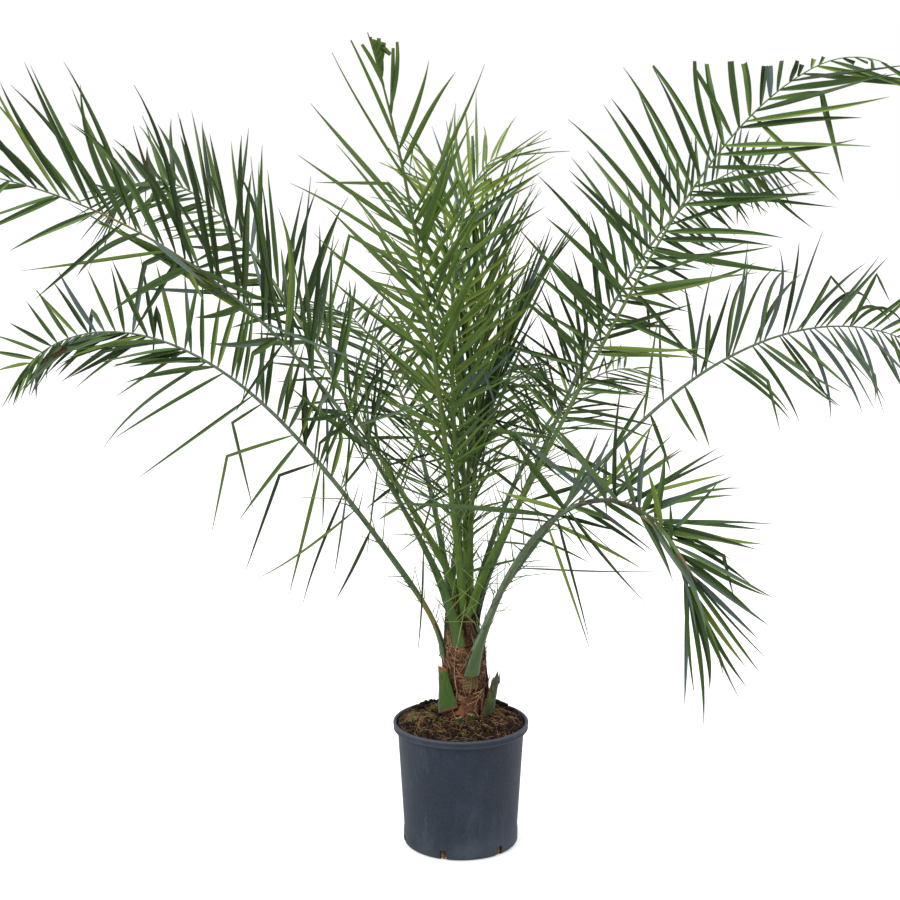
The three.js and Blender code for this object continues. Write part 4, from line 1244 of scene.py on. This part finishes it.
def build_trunk():
    """The bark itself, closed over at the top."""
    turns, rows = 150, 110
    share, azimuth = np.meshgrid(np.linspace(0, 1, rows), np.arange(turns) * 360 / turns, indexing="ij")
    skin = on_trunk(azimuth, share)
    grain = rough(skin, 55.0, 2.0, 5) * 0.0035 + rough(skin * [1, 1, 0.3], 210.0, 5.0, 3) * 0.0012
    skin = skin + polar(azimuth, grain, 0.0)
    skin[0, :, 2] = TRUNK_FOOT - 0.003
    top = [skin[-1] * [shrink, shrink, 1] + [0.005 * (1 - shrink), -0.004 * (1 - shrink), 0]
           for shrink in (0.9, 0.7, 0.4, 0.1)]
    rings = np.concatenate([skin, top])
    trunk = Shape().tubes(rings[None], value=np.linspace(0, 1, len(rings))[None, :, None])
    return trunk.build("trunk_bark", ["bark"], sharp=70, slot="trunk", stands_for=["trunk"])


# How far up the trunk its fibres reach, as a share of its height: azimuths, then shares.
FIBRE_TOP = ((0, 225, 250, 265, 305, 330, 360), (0.9, 0.94, 0.92, 0.8, 0.78, 0.88, 0.9))


def weave(count, radius, rng):
    """Fibres lying over the trunk: most rise and fall round it, some lie across, a few stand off."""
    rings = 11
    share = np.linspace(0, 1, rings)
    azimuth, foot = rng.uniform(0, 360, count * 2), rng.uniform(-0.02, 0.94, count * 2)
    thickness = rough(polar(azimuth, 1.0, foot * 3), 2.2, 4.0, 2)
    azimuth, foot = (v[np.argsort(-thickness - rng.uniform(0, 0.5, count * 2))][:count]
                     for v in (azimuth, foot))
    slope = rng.choice((-1, 1), count) * rng.uniform(10, 60, count)
    length = rng.uniform(0.10, 0.36, count)
    lying = rng.random(count) < 0.25
    slope = np.where(lying, rng.choice((-1, 1), count) * rng.uniform(40, 110, count), slope)
    length = np.where(lying, rng.uniform(-0.08, 0.1, count), length)
    wave = rng.uniform(-11, 11, (count, 1)) * np.sin(share * math.pi * rng.uniform(0.7, 2.6, (count, 1)))
    turn = azimuth[:, None] + slope[:, None] * share + wave
    up = np.clip(foot[:, None] + length[:, None] * share, 0.005, 0.94)
    proud = 0.0012 + rng.uniform(0, 0.0035, (count, 1)) * np.sin(share * math.pi)
    highest = np.interp(azimuth % 360, *FIBRE_TOP)[:, None]
    up = np.minimum(up, highest + rng.uniform(-0.06, 0.04, (count, 1)))
    loose = (rng.random(count) < 0.05)[:, None] * rng.uniform(0.005, 0.016, (count, 1))
    paths = on_trunk(turn, up, proud + loose * share ** 1.4)
    return strands(paths, np.interp(share, (0, 0.5, 1), (0.7, 1, 0.4)) * rng.uniform(*radius, (count, 1)), 4)


# Loose fibres one can see singly on the front: thickness, then points across and up.
FRONT_FIBRES = (
    (0.0009, (-0.009, 0.471), (-0.013, 0.445), (-0.015, 0.404), (-0.012, 0.373), (-0.007, 0.360),
     (-0.013, 0.342), (-0.009, 0.331)),
    (0.0008, (-0.021, 0.372), (-0.017, 0.352), (-0.013, 0.342), (-0.005, 0.331)),
    (0.0009, (0.052, 0.362), (0.040, 0.356), (0.025, 0.355), (0.018, 0.348)),
    (0.0008, (0.051, 0.358), (0.033, 0.346), (0.018, 0.344)),
    (0.0008, (0.050, 0.352), (0.036, 0.338), (0.016, 0.332), (0.012, 0.329)),
    (0.0010, (0.051, 0.360), (0.048, 0.338), (0.046, 0.323), (0.044, 0.312)),
    (0.0009, (0.021, 0.395), (0.023, 0.383), (0.020, 0.362), (0.018, 0.350)),
    (0.0008, (0.033, 0.393), (0.036, 0.372), (0.033, 0.360)),
    (0.0008, (0.008, 0.398), (0.020, 0.394), (0.034, 0.397)),
    (0.0007, (-0.024, 0.424), (-0.012, 0.412), (0.000, 0.400)),
    (0.0007, (-0.026, 0.452), (-0.016, 0.436), (-0.006, 0.430), (0.004, 0.440)),
    (0.0007, (-0.019, 0.461), (-0.008, 0.452), (0.006, 0.458)),
    (0.0007, (-0.034, 0.432), (-0.026, 0.418), (-0.022, 0.400)),
    (0.0006, (0.002, 0.378), (0.012, 0.384), (0.022, 0.380)),
    (0.0006, (0.001, 0.371), (0.013, 0.376), (0.024, 0.373)),
    (0.0006, (-0.004, 0.352), (0.008, 0.347), (0.018, 0.352)),
    (0.0007, (-0.002, 0.322), (0.004, 0.306), (0.006, 0.296)),
    (0.0007, (-0.020, 0.318), (-0.014, 0.305), (-0.010, 0.294)),
    (0.0007, (0.028, 0.318), (0.036, 0.306), (0.040, 0.296)),
)


def front_fibres():
    """The singly visible ones, draped over the front of the trunk."""
    paths, radii = [], []
    for thick, *points in FRONT_FIBRES:
        points = np.array(points)
        t = np.linspace(0, len(points) - 1, 13)
        x, z = (np.interp(t, np.arange(len(points)), points[:, k]) for k in (0, 1))
        x, z = (np.convolve(np.pad(v, 1, mode="edge"), (0.25, 0.5, 0.25), "valid") for v in (x, z))
        share = (z - TRUNK_FOOT) / (TRUNK_TOP - TRUNK_FOOT)
        axis, radius = trunk_axis(share), trunk_radius(share) + 0.003
        near = np.clip(1 - ((x - axis[:, 0]) / radius) ** 2, 0.02, 1)
        paths.append(np.column_stack([x, axis[:, 1] - radius * np.sqrt(near), z]))
        radii.append(np.interp(t / t[-1], (0, 0.5, 1), (0.8, 1, 0.5)) * thick)
    return strands(np.array(paths), np.array(radii), 5)


def build_strands(sizes, rng):
    """Every fibre on the trunk."""
    fibres = Shape()
    for count, radius, shares in ((sizes.strand_count, (0.0003, 0.0006), (0.44, 0.38, 0.18)),
                                  (sizes.strand_count // 2, (0.0006, 0.0012), (0.42, 0.42, 0.16))):
        rings = weave(count, radius, rng)
        fibres.tubes(rings, rng.choice(3, (len(rings), 1, 1), p=shares))
    fibres.tubes(front_fibres())
    return fibres.build("trunk_fibres", ["fibre_tan", "fibre_red", "fibre_dark"], sharp=180, slot="trunk")


# ---- cut leaf bases ----

# at: azimuth, distance and height of the foot. turn: how far it is turned from facing straight out.
# slide: how far its top stands to the right. slants: how much higher the right edge of the foot and of
# the cut is. ragged: how deep the cut is torn. edge: the finish of its left edge where that isn't bark.
STUBS = {
    "stub_left": dict(at=(236, 0.052, 0.316), height=0.095, lean=3, width=(0.050, 0.024), thick=0.013,
                      slide=-0.0108, slants=(0.011, -0.001), ragged=0.003, finish="stub_fresh",
                      edge="stalk_bloom"),
    "stub_right": dict(at=(338, 0.063, 0.300), height=0.086, lean=12, width=(0.040, 0.022), thick=0.012,
                       turn=-28, slide=0.003, slants=(0.004, 0.002), ragged=0.007, finish="stub_lit"),
    "stub_front": dict(at=(264, 0.057, 0.276), height=0.030, lean=4, width=(0.022, 0.017), thick=0.011,
                       slants=(0.0, 0.003), ragged=0.0012, finish="stub_old"),
    "stub_front_right": dict(at=(290, 0.058, 0.280), height=0.032, lean=6, width=(0.026, 0.019),
                             thick=0.011, slants=(0.0, -0.004), ragged=0.0018, finish="stub_old"),
    "stub_back": dict(at=(110, 0.052, 0.296), height=0.060, lean=10, width=(0.036, 0.024), thick=0.014,
                      slants=(0.0, 0.006), ragged=0.006, finish="stub_old"),
}


def plate(at, height, lean, width, thick, rng, turn=0, slide=0.0, slants=(0.0, 0.0), ragged=0.004, rings=26,
          points=36):
    """A leaf base: crescent in section, with a slanted foot and a torn top."""
    azimuth, distance, foot = at
    outward, out, across = (polar(azimuth + a, 1.0, 0.0) for a in (0, turn, turn + 90))
    t = loop(points)
    side = squarish(t, 0.8)
    depth = np.where(np.sin(t) > 0, np.sin(t), np.sin(t) * 0.45)
    tears = rng.normal(0, 1, points)
    tears = (tears + np.roll(tears, 1) * 0.5) * ragged
    made = []
    for v in np.linspace(0, 1, rings):
        half = (width[0] + (width[1] - width[0]) * v ** 0.9) / 2
        half *= 1 + 0.05 * math.sin(v * 7.0)
        deep = thick / 2 * (1 - 0.3 * v)
        z = v * height + side * (slants[0] * (1 - v) ** 3 + slants[1] * v ** 3)
        z = z + np.maximum(tears, -height * 0.2) * max(v - 0.78, 0) / 0.22
        reach = distance + math.tan(math.radians(lean)) * v * height
        bow = -0.10 * half * side ** 2 / 0.8
        ring = outward * reach + out * (depth * deep + bow)[:, None]
        ring = ring + across * (side * half + slide * v)[:, None]
        ring[:, 2] = foot + z
        made.append(ring)
    return np.array(made)


def build_stub(name, rng):
    """One cut leaf base, with a finish of its own along its left edge."""
    row = dict(STUBS[name])
    key, edge = row.pop("finish"), row.pop("edge", "bark")
    rings = plate(rng=rng, **row)
    grain = rough(rings * [1, 1, 0.4], 130.0, rng.uniform(0, 9), 4) * 0.0009
    rings = roughened(rings, grain)
    value = np.linspace(0, 1, len(rings))[None, :, None]
    left = np.cos(loop(rings.shape[1]) + math.pi / rings.shape[1]) < -0.8
    piece = Shape().tubes(rings[None], left[None, None].astype(int), value)
    return piece.build(f"{name}_base", [key, edge], sharp=50, slot="stub", stands_for=[name])


# Old leaf bases on the trunk: azimuth, distance, foot, height, lean, width at foot and top, thickness
# and the number of the finish, in the order that build_boots gives them.
BOOTS = (
    (4, 0.051, 0.330, 0.128, -4, 0.036, 0.026, 0.013, 0),
    (28, 0.045, 0.305, 0.110, 1, 0.040, 0.024, 0.013, 0),
    (58, 0.040, 0.320, 0.110, 2, 0.038, 0.022, 0.011, 1),
    (95, 0.0385, 0.300, 0.110, 1, 0.038, 0.022, 0.011, 0),
    (135, 0.037, 0.330, 0.090, 2, 0.036, 0.020, 0.011, 1),
    (175, 0.033, 0.330, 0.090, 1, 0.034, 0.020, 0.010, 0),
    (205, 0.036, 0.345, 0.085, 1, 0.032, 0.020, 0.010, 1),
    (285, 0.045, 0.300, 0.050, 3, 0.040, 0.028, 0.009, 1),
    (236, 0.026, 0.450, 0.066, 2, 0.030, 0.018, 0.008, 1),
    (266, 0.037, 0.436, 0.080, 1, 0.028, 0.022, 0.008, 0),
    (290, 0.038, 0.430, 0.088, 1, 0.026, 0.020, 0.008, 1),
    (312, 0.039, 0.430, 0.090, 1, 0.026, 0.018, 0.008, 0),
    (20, 0.032, 0.450, 0.060, 1, 0.030, 0.020, 0.008, 0),
    (150, 0.026, 0.450, 0.062, 1, 0.030, 0.020, 0.008, 0),
    (90, 0.030, 0.450, 0.060, 1, 0.030, 0.020, 0.008, 1),
    (260, 0.0490, 0.308, 0.016, 2, 0.022, 0.016, 0.008, 2),
    (264, 0.0460, 0.393, 0.015, 3, 0.015, 0.008, 0.007, 2),
    (286, 0.0475, 0.366, 0.030, 1, 0.032, 0.028, 0.007, 3),
)


def build_boots(rng):
    """Old leaf bases that still wrap the trunk, rough and dark, and two torn ends."""
    boots = Shape()
    for azimuth, distance, foot, height, lean, low, high, thick, kind in BOOTS:
        rings = plate((azimuth, distance, foot), height, lean, (low, high), thick, rng,
                      slants=(0.0, rng.normal(0, 0.005)), ragged=0.05 * height + 0.002)
        rings[..., 0] += 0.006
        grain = rough(rings * [1, 1, 0.5], 85.0, azimuth, 5) * min(0.004, height * 0.05)
        boots.tubes(roughened(rings, grain)[None], kind, 0.5)
    return boots.build("trunk_old_bases", ["bark_black", "bark", "cut_end", "stub_dark"], sharp=60,
                       slot="trunk")


# ---- fronds ----

SHEATH_LENGTH = 0.13  # share of the rib over which its foot is broader
SHEATHS = {"drooping_right": 0.0195, "upper_left_front": 0.0138, "left_low": 0.0098, "right_low": 0.012,
           "upper_right_front": 0.012}
STALKS = {
    "upper_left_front": "stalk_left", "upper_left_back": "stalk_right", "left_low": "stalk_edge",
    "tall_front": "stalk_inner", "tall_back_left": "stalk_inner", "tall_back_right": "stalk_inner",
    "closed_spear": "stalk_inner", "centre": "stalk_inner", "upper_right_front": "stalk_right",
    "upper_right_back": "stalk_outer", "right_low": "stalk_outer", "drooping_right": "stalk_droop",
    "short_right": "stalk_outer", "back_left": "stalk_outer", "back_right": "stalk_outer",
}


def half_width(name, s):
    """Half the width of a frond's stalk, with the sheath at its foot."""
    frond = FRONDS[name]
    foot = np.clip(1 - (s - frond.get("start", 0.0)) / SHEATH_LENGTH, 0, 1) ** 1.3
    return stalk_half(frond, s) + (SHEATHS.get(name, frond["thick"] * 1.35) - frond["thick"]) * foot


def clasping(frond, s):
    """The rib's stations, turned at its foot to lie flat against the trunk."""
    place, along, _, side = stations(rib_of(frond), s)
    clasp = np.interp(s - frond.get("start", 0.0), (0, 0.06, 0.2), (1, 0.9, 0))[:, None]
    tangent = polar(frond["base"][0] + 90, 1.0, 0.0)
    tangent = tangent * np.sign((side * tangent).sum(-1, keepdims=True))
    side = side * (1 - clasp) + tangent * clasp
    side = unit(side - (side * along).sum(-1, keepdims=True) * along)
    return place, along, np.cross(side, along), side


def build_stalk(name):
    """One frond's rib: a clasping base, a stalk with a flat upper side, and a long thin end."""
    frond = FRONDS[name]
    start = frond.get("start", 0.0)
    s = np.concatenate([np.linspace(start, start + 0.12, 14)[:-1], np.linspace(start + 0.12, 1, 70)])
    place, _, face, side = clasping(frond, s)
    points = 14
    t = loop(points)
    deep = np.where(np.sin(t) > 0, np.sin(t) * 0.5, np.sin(t) * 0.95)
    keel = np.clip((s - frond["leafy"]) / 0.2, 0, 1)[:, None]
    rise = (deep + 0.35 * keel * np.maximum(np.sin(t), 0) ** 3) * stalk_half(frond, s)[:, None]
    ring = section(place, side, face, squarish(t, 0.9) * half_width(name, s)[:, None], rise)
    edge = np.isin(np.arange(points), (0, points - 1))
    # the edge faces of the stalk's foot take a paler finish: partly the stalk's own pale waxy coat, partly a
    # painted highlight along its edges
    bloom_and_highlight = (s[1:, None] < frond["leafy"]) & edge & (STALKS[name] in ("stalk_droop", "stalk_outer"))
    body = Shape().tubes(ring[None], bloom_and_highlight[None].astype(int), s[None, :, None])
    return body.build(f"{name}_rib", [STALKS[name], "stalk_bloom"], sharp=55, slot="petiole",
                      stands_for=[f"petiole_{name}"])


def build_margins(rng):
    """The torn brown web that each stalk keeps along its edges where it leaves the trunk."""
    margins = Shape()
    points = 10
    for name, frond in FRONDS.items():
        for sign in (1, -1):
            worn = 1.0 if (name, sign) == ("left_low", 1) else rng.uniform(0.05, 0.25)
            start = frond.get("start", 0.0)
            s = np.linspace(start, start + 0.06 + 0.07 * worn, 26)
            place, _, face, side = clasping(frond, s)
            deep = 0.0010 + 0.0065 * worn * np.interp(s - start, (0, 0.05, SHEATH_LENGTH), (1, 0.55, 0.1))
            middle = place + sign * side * (half_width(name, s) + deep * 0.35)[:, None] - face * 0.002
            t = loop(points)
            ring = section(middle, side, face, np.cos(t) * deep[:, None],
                           np.sin(t) * (0.0012 + deep * 0.25)[:, None])
            grain = rough(ring, 160.0, worn * 9, 4) * (0.0006 + 0.0022 * worn)
            margins.tubes(roughened(ring, grain)[None], rng.integers(0, 2, (1, len(s) - 1, points)))
    return margins.build("stalk_webs", ["bark", "bark_black"], sharp=60, slot="trunk")


def build_leaves(name, sizes, rng):
    """All the leaflets of one frond."""
    rows = leaf_rows(name, rng)
    rings = leaf_rings(rows, sizes.leaflet_fold, sizes.leaflet_thickness)
    u = (np.arange(LEAF_RINGS - 1) + 0.5) / (LEAF_RINGS - 1)
    tint = rows["tint"][:, None, None] + np.zeros((1, LEAF_RINGS - 1, 4), int)
    tint[..., 2:] = len(TINTS)
    # Painted light and shade: on some leaflets one upper half takes a paler tint as a painted highlight, and
    # on some one underside half a darker tint as painted shade.
    lit = rng.random(len(tint))
    painted_lit_tint = np.array([TINTS.index(t) for t in ("mid", "light", "yellow", "yellow", "light")])
    tint[lit < 0.45, :, 0] = painted_lit_tint[rows["tint"][lit < 0.45]][:, None]
    tint[lit > 0.75, :, 1] = painted_lit_tint[rows["tint"][lit > 0.75]][:, None]
    tint[lit < 0.3, :, 3] = TINTS.index("mid" if LOOKS[name]["under"] == "under_lit" else "deep")
    dead = u[None, :] > rows["dry"][:, None]
    brown = len(TINTS) + 1 + (np.arange(len(tint)) % 3 == 0)
    tint = np.where(dead[..., None], brown[:, None, None], tint)
    stands_for = [f"blade_{name}"] + ([f"tip_{name}"] if name in SPLIT_BLADES else [])
    keys = [f"leaf_{t}" for t in TINTS] + [f"leaf_{LOOKS[name]['under']}", "leaf_dry", "leaf_brown"]
    return Shape().tubes(rings, tint).build(f"{name}_leaflets", keys, sharp=24, slot="blade",
                                            stands_for=stands_for)


# Spines that cross in front of the trunk: thickness, then both ends, across and up.
CROSSING = (
    (0.0014, -0.009, 0.469, 0.011, 0.568), (0.0009, -0.049, 0.526, 0.042, 0.520),
    (0.0009, -0.007, 0.527, 0.025, 0.552), (0.0009, 0.035, 0.517, 0.006, 0.541),
    (0.0008, -0.088, 0.481, -0.055, 0.514), (0.0008, 0.111, 0.566, 0.076, 0.537),
    (0.0008, -0.043, 0.529, -0.021, 0.543), (0.0009, -0.013, 0.529, 0.020, 0.560),
    (0.0009, 0.006, 0.548, 0.040, 0.565), (0.0009, -0.050, 0.560, 0.010, 0.590),
    (0.0009, 0.048, 0.560, -0.012, 0.600), (0.0009, -0.030, 0.545, 0.030, 0.610),
    (0.0009, 0.060, 0.590, 0.000, 0.640), (0.0009, -0.060, 0.600, 0.000, 0.665),
)


def build_spines(sizes, rng):
    """Stiff spines along both edges of every stalk, longer towards the leaflets."""
    spines = Shape()
    for frond in FRONDS.values():
        rib = rib_of(frond)
        for sign in (1, -1):
            n = sizes.spine_count
            lowest = frond.get("start", 0.0) / frond["leafy"] + 0.14
            share = np.sort(rng.uniform(lowest, 1.06, n))
            place, along, face, side = stations(rib, share * frond["leafy"])
            out = np.radians(rng.uniform(14, 62, n))[:, None]
            lift = np.radians(rng.choice((-15, 20, 55), n) + rng.normal(0, 10, n))[:, None]
            across = sign * side * np.cos(lift) + face * np.sin(lift)
            heading = along * np.cos(out) + across * np.sin(out)
            length = sizes.spine_length * (0.40 + 0.60 * share) * rng.uniform(0.25, 1.35, n)
            steps = np.linspace(0, 1, 5)
            start = place + across * 0.8 * stalk_half(frond, share * frond["leafy"])[:, None]
            paths = start[:, None, :] + heading[:, None, :] * (steps[None, :] * length[:, None])[..., None]
            thick = np.interp(steps, (0, 0.15, 0.6, 1), (1.3, 1, 0.7, 0.08))
            radii = thick * (0.0009 + 0.0004 * share)[:, None]
            dark = rng.random((n, 1, 1)) < 0.5
            spines.tubes(strands(paths, radii, 4), dark.astype(int))
    for thick, x, z, end_x, end_z in CROSSING:
        share = np.linspace(0, 1, 5)[:, None]
        path = np.array([x, -0.075, z]) * (1 - share) + np.array([end_x, -0.055, end_z]) * share
        radii = np.array([0.5, 1.0, 1.0, 0.8, 0.3]) * thick
        spines.tubes(strands(path[None], radii[None], 4), 0)
    return spines.build("stalk_spines", ["spine", "spine_dark"], sharp=180, slot="petiole")


# ---- stage ----

SKY_ABOVE, SKY_BELOW = 0.85, 0.22  # how bright the studio is overhead and below, 1 at eye level
FLOOR_HALF, FLOOR_TOP = 30.0, -0.0005  # just under the pot, so that the two don't flicker
CAMERA_PLACE, CAMERA_DIP, CAMERA_LENS, SENSOR = (-0.024, -3.87, 1.60), 10.42, 72.94, 36.0


def area_light(name, place, aim, size, power):
    """A soft round lamp, aimed at a place."""
    data = bpy.data.lights.new(name, "AREA")
    data.shape, data.size, data.energy = "DISK", size, power
    light = put(name, data)
    light.location = place
    light.rotation_euler = (Vector(aim) - Vector(place)).to_track_quat("-Z", "Y").to_euler()


def build_stage():
    """The even sky, the floor, three soft lamps and the camera."""
    scene = bpy.context.scene
    scene.view_settings.view_transform = "Standard"
    scene.world = bpy.data.worlds.new("studio")
    sky = Shading(scene.world)
    height = sky.node("ShaderNodeSeparateXYZ", {}, {0: sky.node("ShaderNodeTexCoord", output="Generated")},
                      output=2)
    ground = height.between(-0.3, -0.12) * (1 - SKY_BELOW) + SKY_BELOW
    overhead = height.between(0.12, 0.5) * (SKY_ABOVE - 1)
    light = sky.node("ShaderNodeBackground", {}, {"Color": (1, 1, 1, 1), "Strength": ground + overhead})
    output = sky.tree.nodes.new("ShaderNodeOutputWorld")
    sky.tree.links.new(light.socket, output.inputs["Surface"])
    corners = [(x * FLOOR_HALF, y * FLOOR_HALF, FLOOR_TOP) for x, y in ((-1, -1), (1, -1), (1, 1), (-1, 1))]
    mesh = bpy.data.meshes.new("studio_floor")
    mesh.from_pydata(corners, [], [(0, 1, 2, 3)])
    mesh.materials.append(finish("studio_floor"))
    piece = put("studio_floor", mesh)
    piece.visible_diffuse = False  # the floor stays white without lighting the fronds from below
    area_light("key_light", (-2.8, -3.2, 4.4), (0, 0, 0.9), 2.2, 150.0)
    area_light("fill_light", (3.2, -2.6, 2.6), (0, 0, 0.9), 2.6, 22.0)
    area_light("top_light", (0.3, 0.6, 5.0), (0, 0, 0.8), 2.6, 90.0)
    camera = put("camera", bpy.data.cameras.new("camera"))
    camera.data.lens, camera.data.sensor_width = CAMERA_LENS, SENSOR
    camera.location = CAMERA_PLACE
    camera.rotation_euler = (math.radians(90 - CAMERA_DIP), 0, 0)
    scene.camera = camera


# ---- operators ----


class PalmOperator:
    """What every palm operator shares: it undoes in one step and hands its sizes to build."""

    bl_options = {"REGISTER", "UNDO"}
    seed = 0

    def execute(self, context):
        self.build(context.scene.palm_sizes, np.random.default_rng(self.seed))
        return {"FINISHED"}


class PALM_OT_stage(PalmOperator, Operator):
    """Add the pale floor, the soft lights and the camera"""

    bl_idname = "palm.stage"
    bl_label = "Stage"

    def build(self, sizes, rng):
        build_stage()


class PALM_OT_pot(PalmOperator, Operator):
    """Add the nursery pot with its rolled rim and drain slots, and the roots behind the slots"""

    bl_idname = "palm.pot"
    bl_label = "Pot"
    seed = 11

    def build(self, sizes, rng):
        build_pot(sizes)
        build_roots(sizes, rng)


class PALM_OT_soil(PalmOperator, Operator):
    """Add the mounded soil with its crumbs, fibres and moss"""

    bl_idname = "palm.soil"
    bl_label = "Soil"
    seed = 21

    def build(self, sizes, rng):
        build_soil()
        build_crumbs(sizes, rng)
        build_straw(sizes, rng)
        build_moss(sizes, rng)


class PALM_OT_trunk(PalmOperator, Operator):
    """Add the fibrous trunk with its old leaf bases and loose strands"""

    bl_idname = "palm.trunk"
    bl_label = "Trunk"
    seed = 31

    def build(self, sizes, rng):
        build_trunk()
        build_boots(rng)
        build_strands(sizes, rng)


class PALM_OT_stubs(PalmOperator, Operator):
    """Add the cut leaf bases round the trunk's foot"""

    bl_idname = "palm.stubs"
    bl_label = "Cut leaf bases"
    seed = 41

    def build(self, sizes, rng):
        for name in STUBS:
            build_stub(name, rng)


class PALM_OT_stalks(PalmOperator, Operator):
    """Add the ribs of all fronds, with their webs and spines"""

    bl_idname = "palm.stalks"
    bl_label = "Stalks"
    seed = 51

    def build(self, sizes, rng):
        for name in FRONDS:
            build_stalk(name)
        build_margins(rng)
        build_spines(sizes, rng)


class PALM_OT_leaves(PalmOperator, Operator):
    """Add the leaflets of all fronds"""

    bl_idname = "palm.leaves"
    bl_label = "Leaflets"
    seed = 61

    def build(self, sizes, rng):
        for number, name in enumerate(FRONDS):
            build_leaves(name, sizes, np.random.default_rng(self.seed + number))


class PALM_PT_panel(Panel):
    """The palm's pieces, sizes and colours in the sidebar"""

    bl_label = "Date palm"
    bl_idname = "PALM_PT_panel"
    bl_space_type = "VIEW_3D"
    bl_region_type = "UI"
    bl_category = "Date palm"

    def draw(self, context):
        layout = self.layout
        for operator in OPERATORS:
            layout.operator(operator.bl_idname, text=operator.bl_label)
        for group in (context.scene.palm_sizes, context.scene.palm_finishes):
            box = layout.box()
            for name in group.__annotations__:
                box.prop(group, name)


OPERATORS = (
    PALM_OT_stage, PALM_OT_pot, PALM_OT_soil, PALM_OT_trunk, PALM_OT_stubs, PALM_OT_stalks,
    PALM_OT_leaves,
)
CLASSES = (PalmFinishes, PalmSizes, *OPERATORS, PALM_PT_panel)


def register():
    for kind in CLASSES:
        bpy.utils.register_class(kind)
    bpy.types.Scene.palm_finishes = PointerProperty(type=PalmFinishes)
    bpy.types.Scene.palm_sizes = PointerProperty(type=PalmSizes)


def unregister():
    del bpy.types.Scene.palm_sizes
    del bpy.types.Scene.palm_finishes
    for kind in reversed(CLASSES):
        bpy.utils.unregister_class(kind)


def main():
    """Build every piece in order."""
    register()
    for operator in OPERATORS:
        group, name = operator.bl_idname.split(".")
        getattr(getattr(bpy.ops, group), name)()


if __name__ == "__main__":
    main()
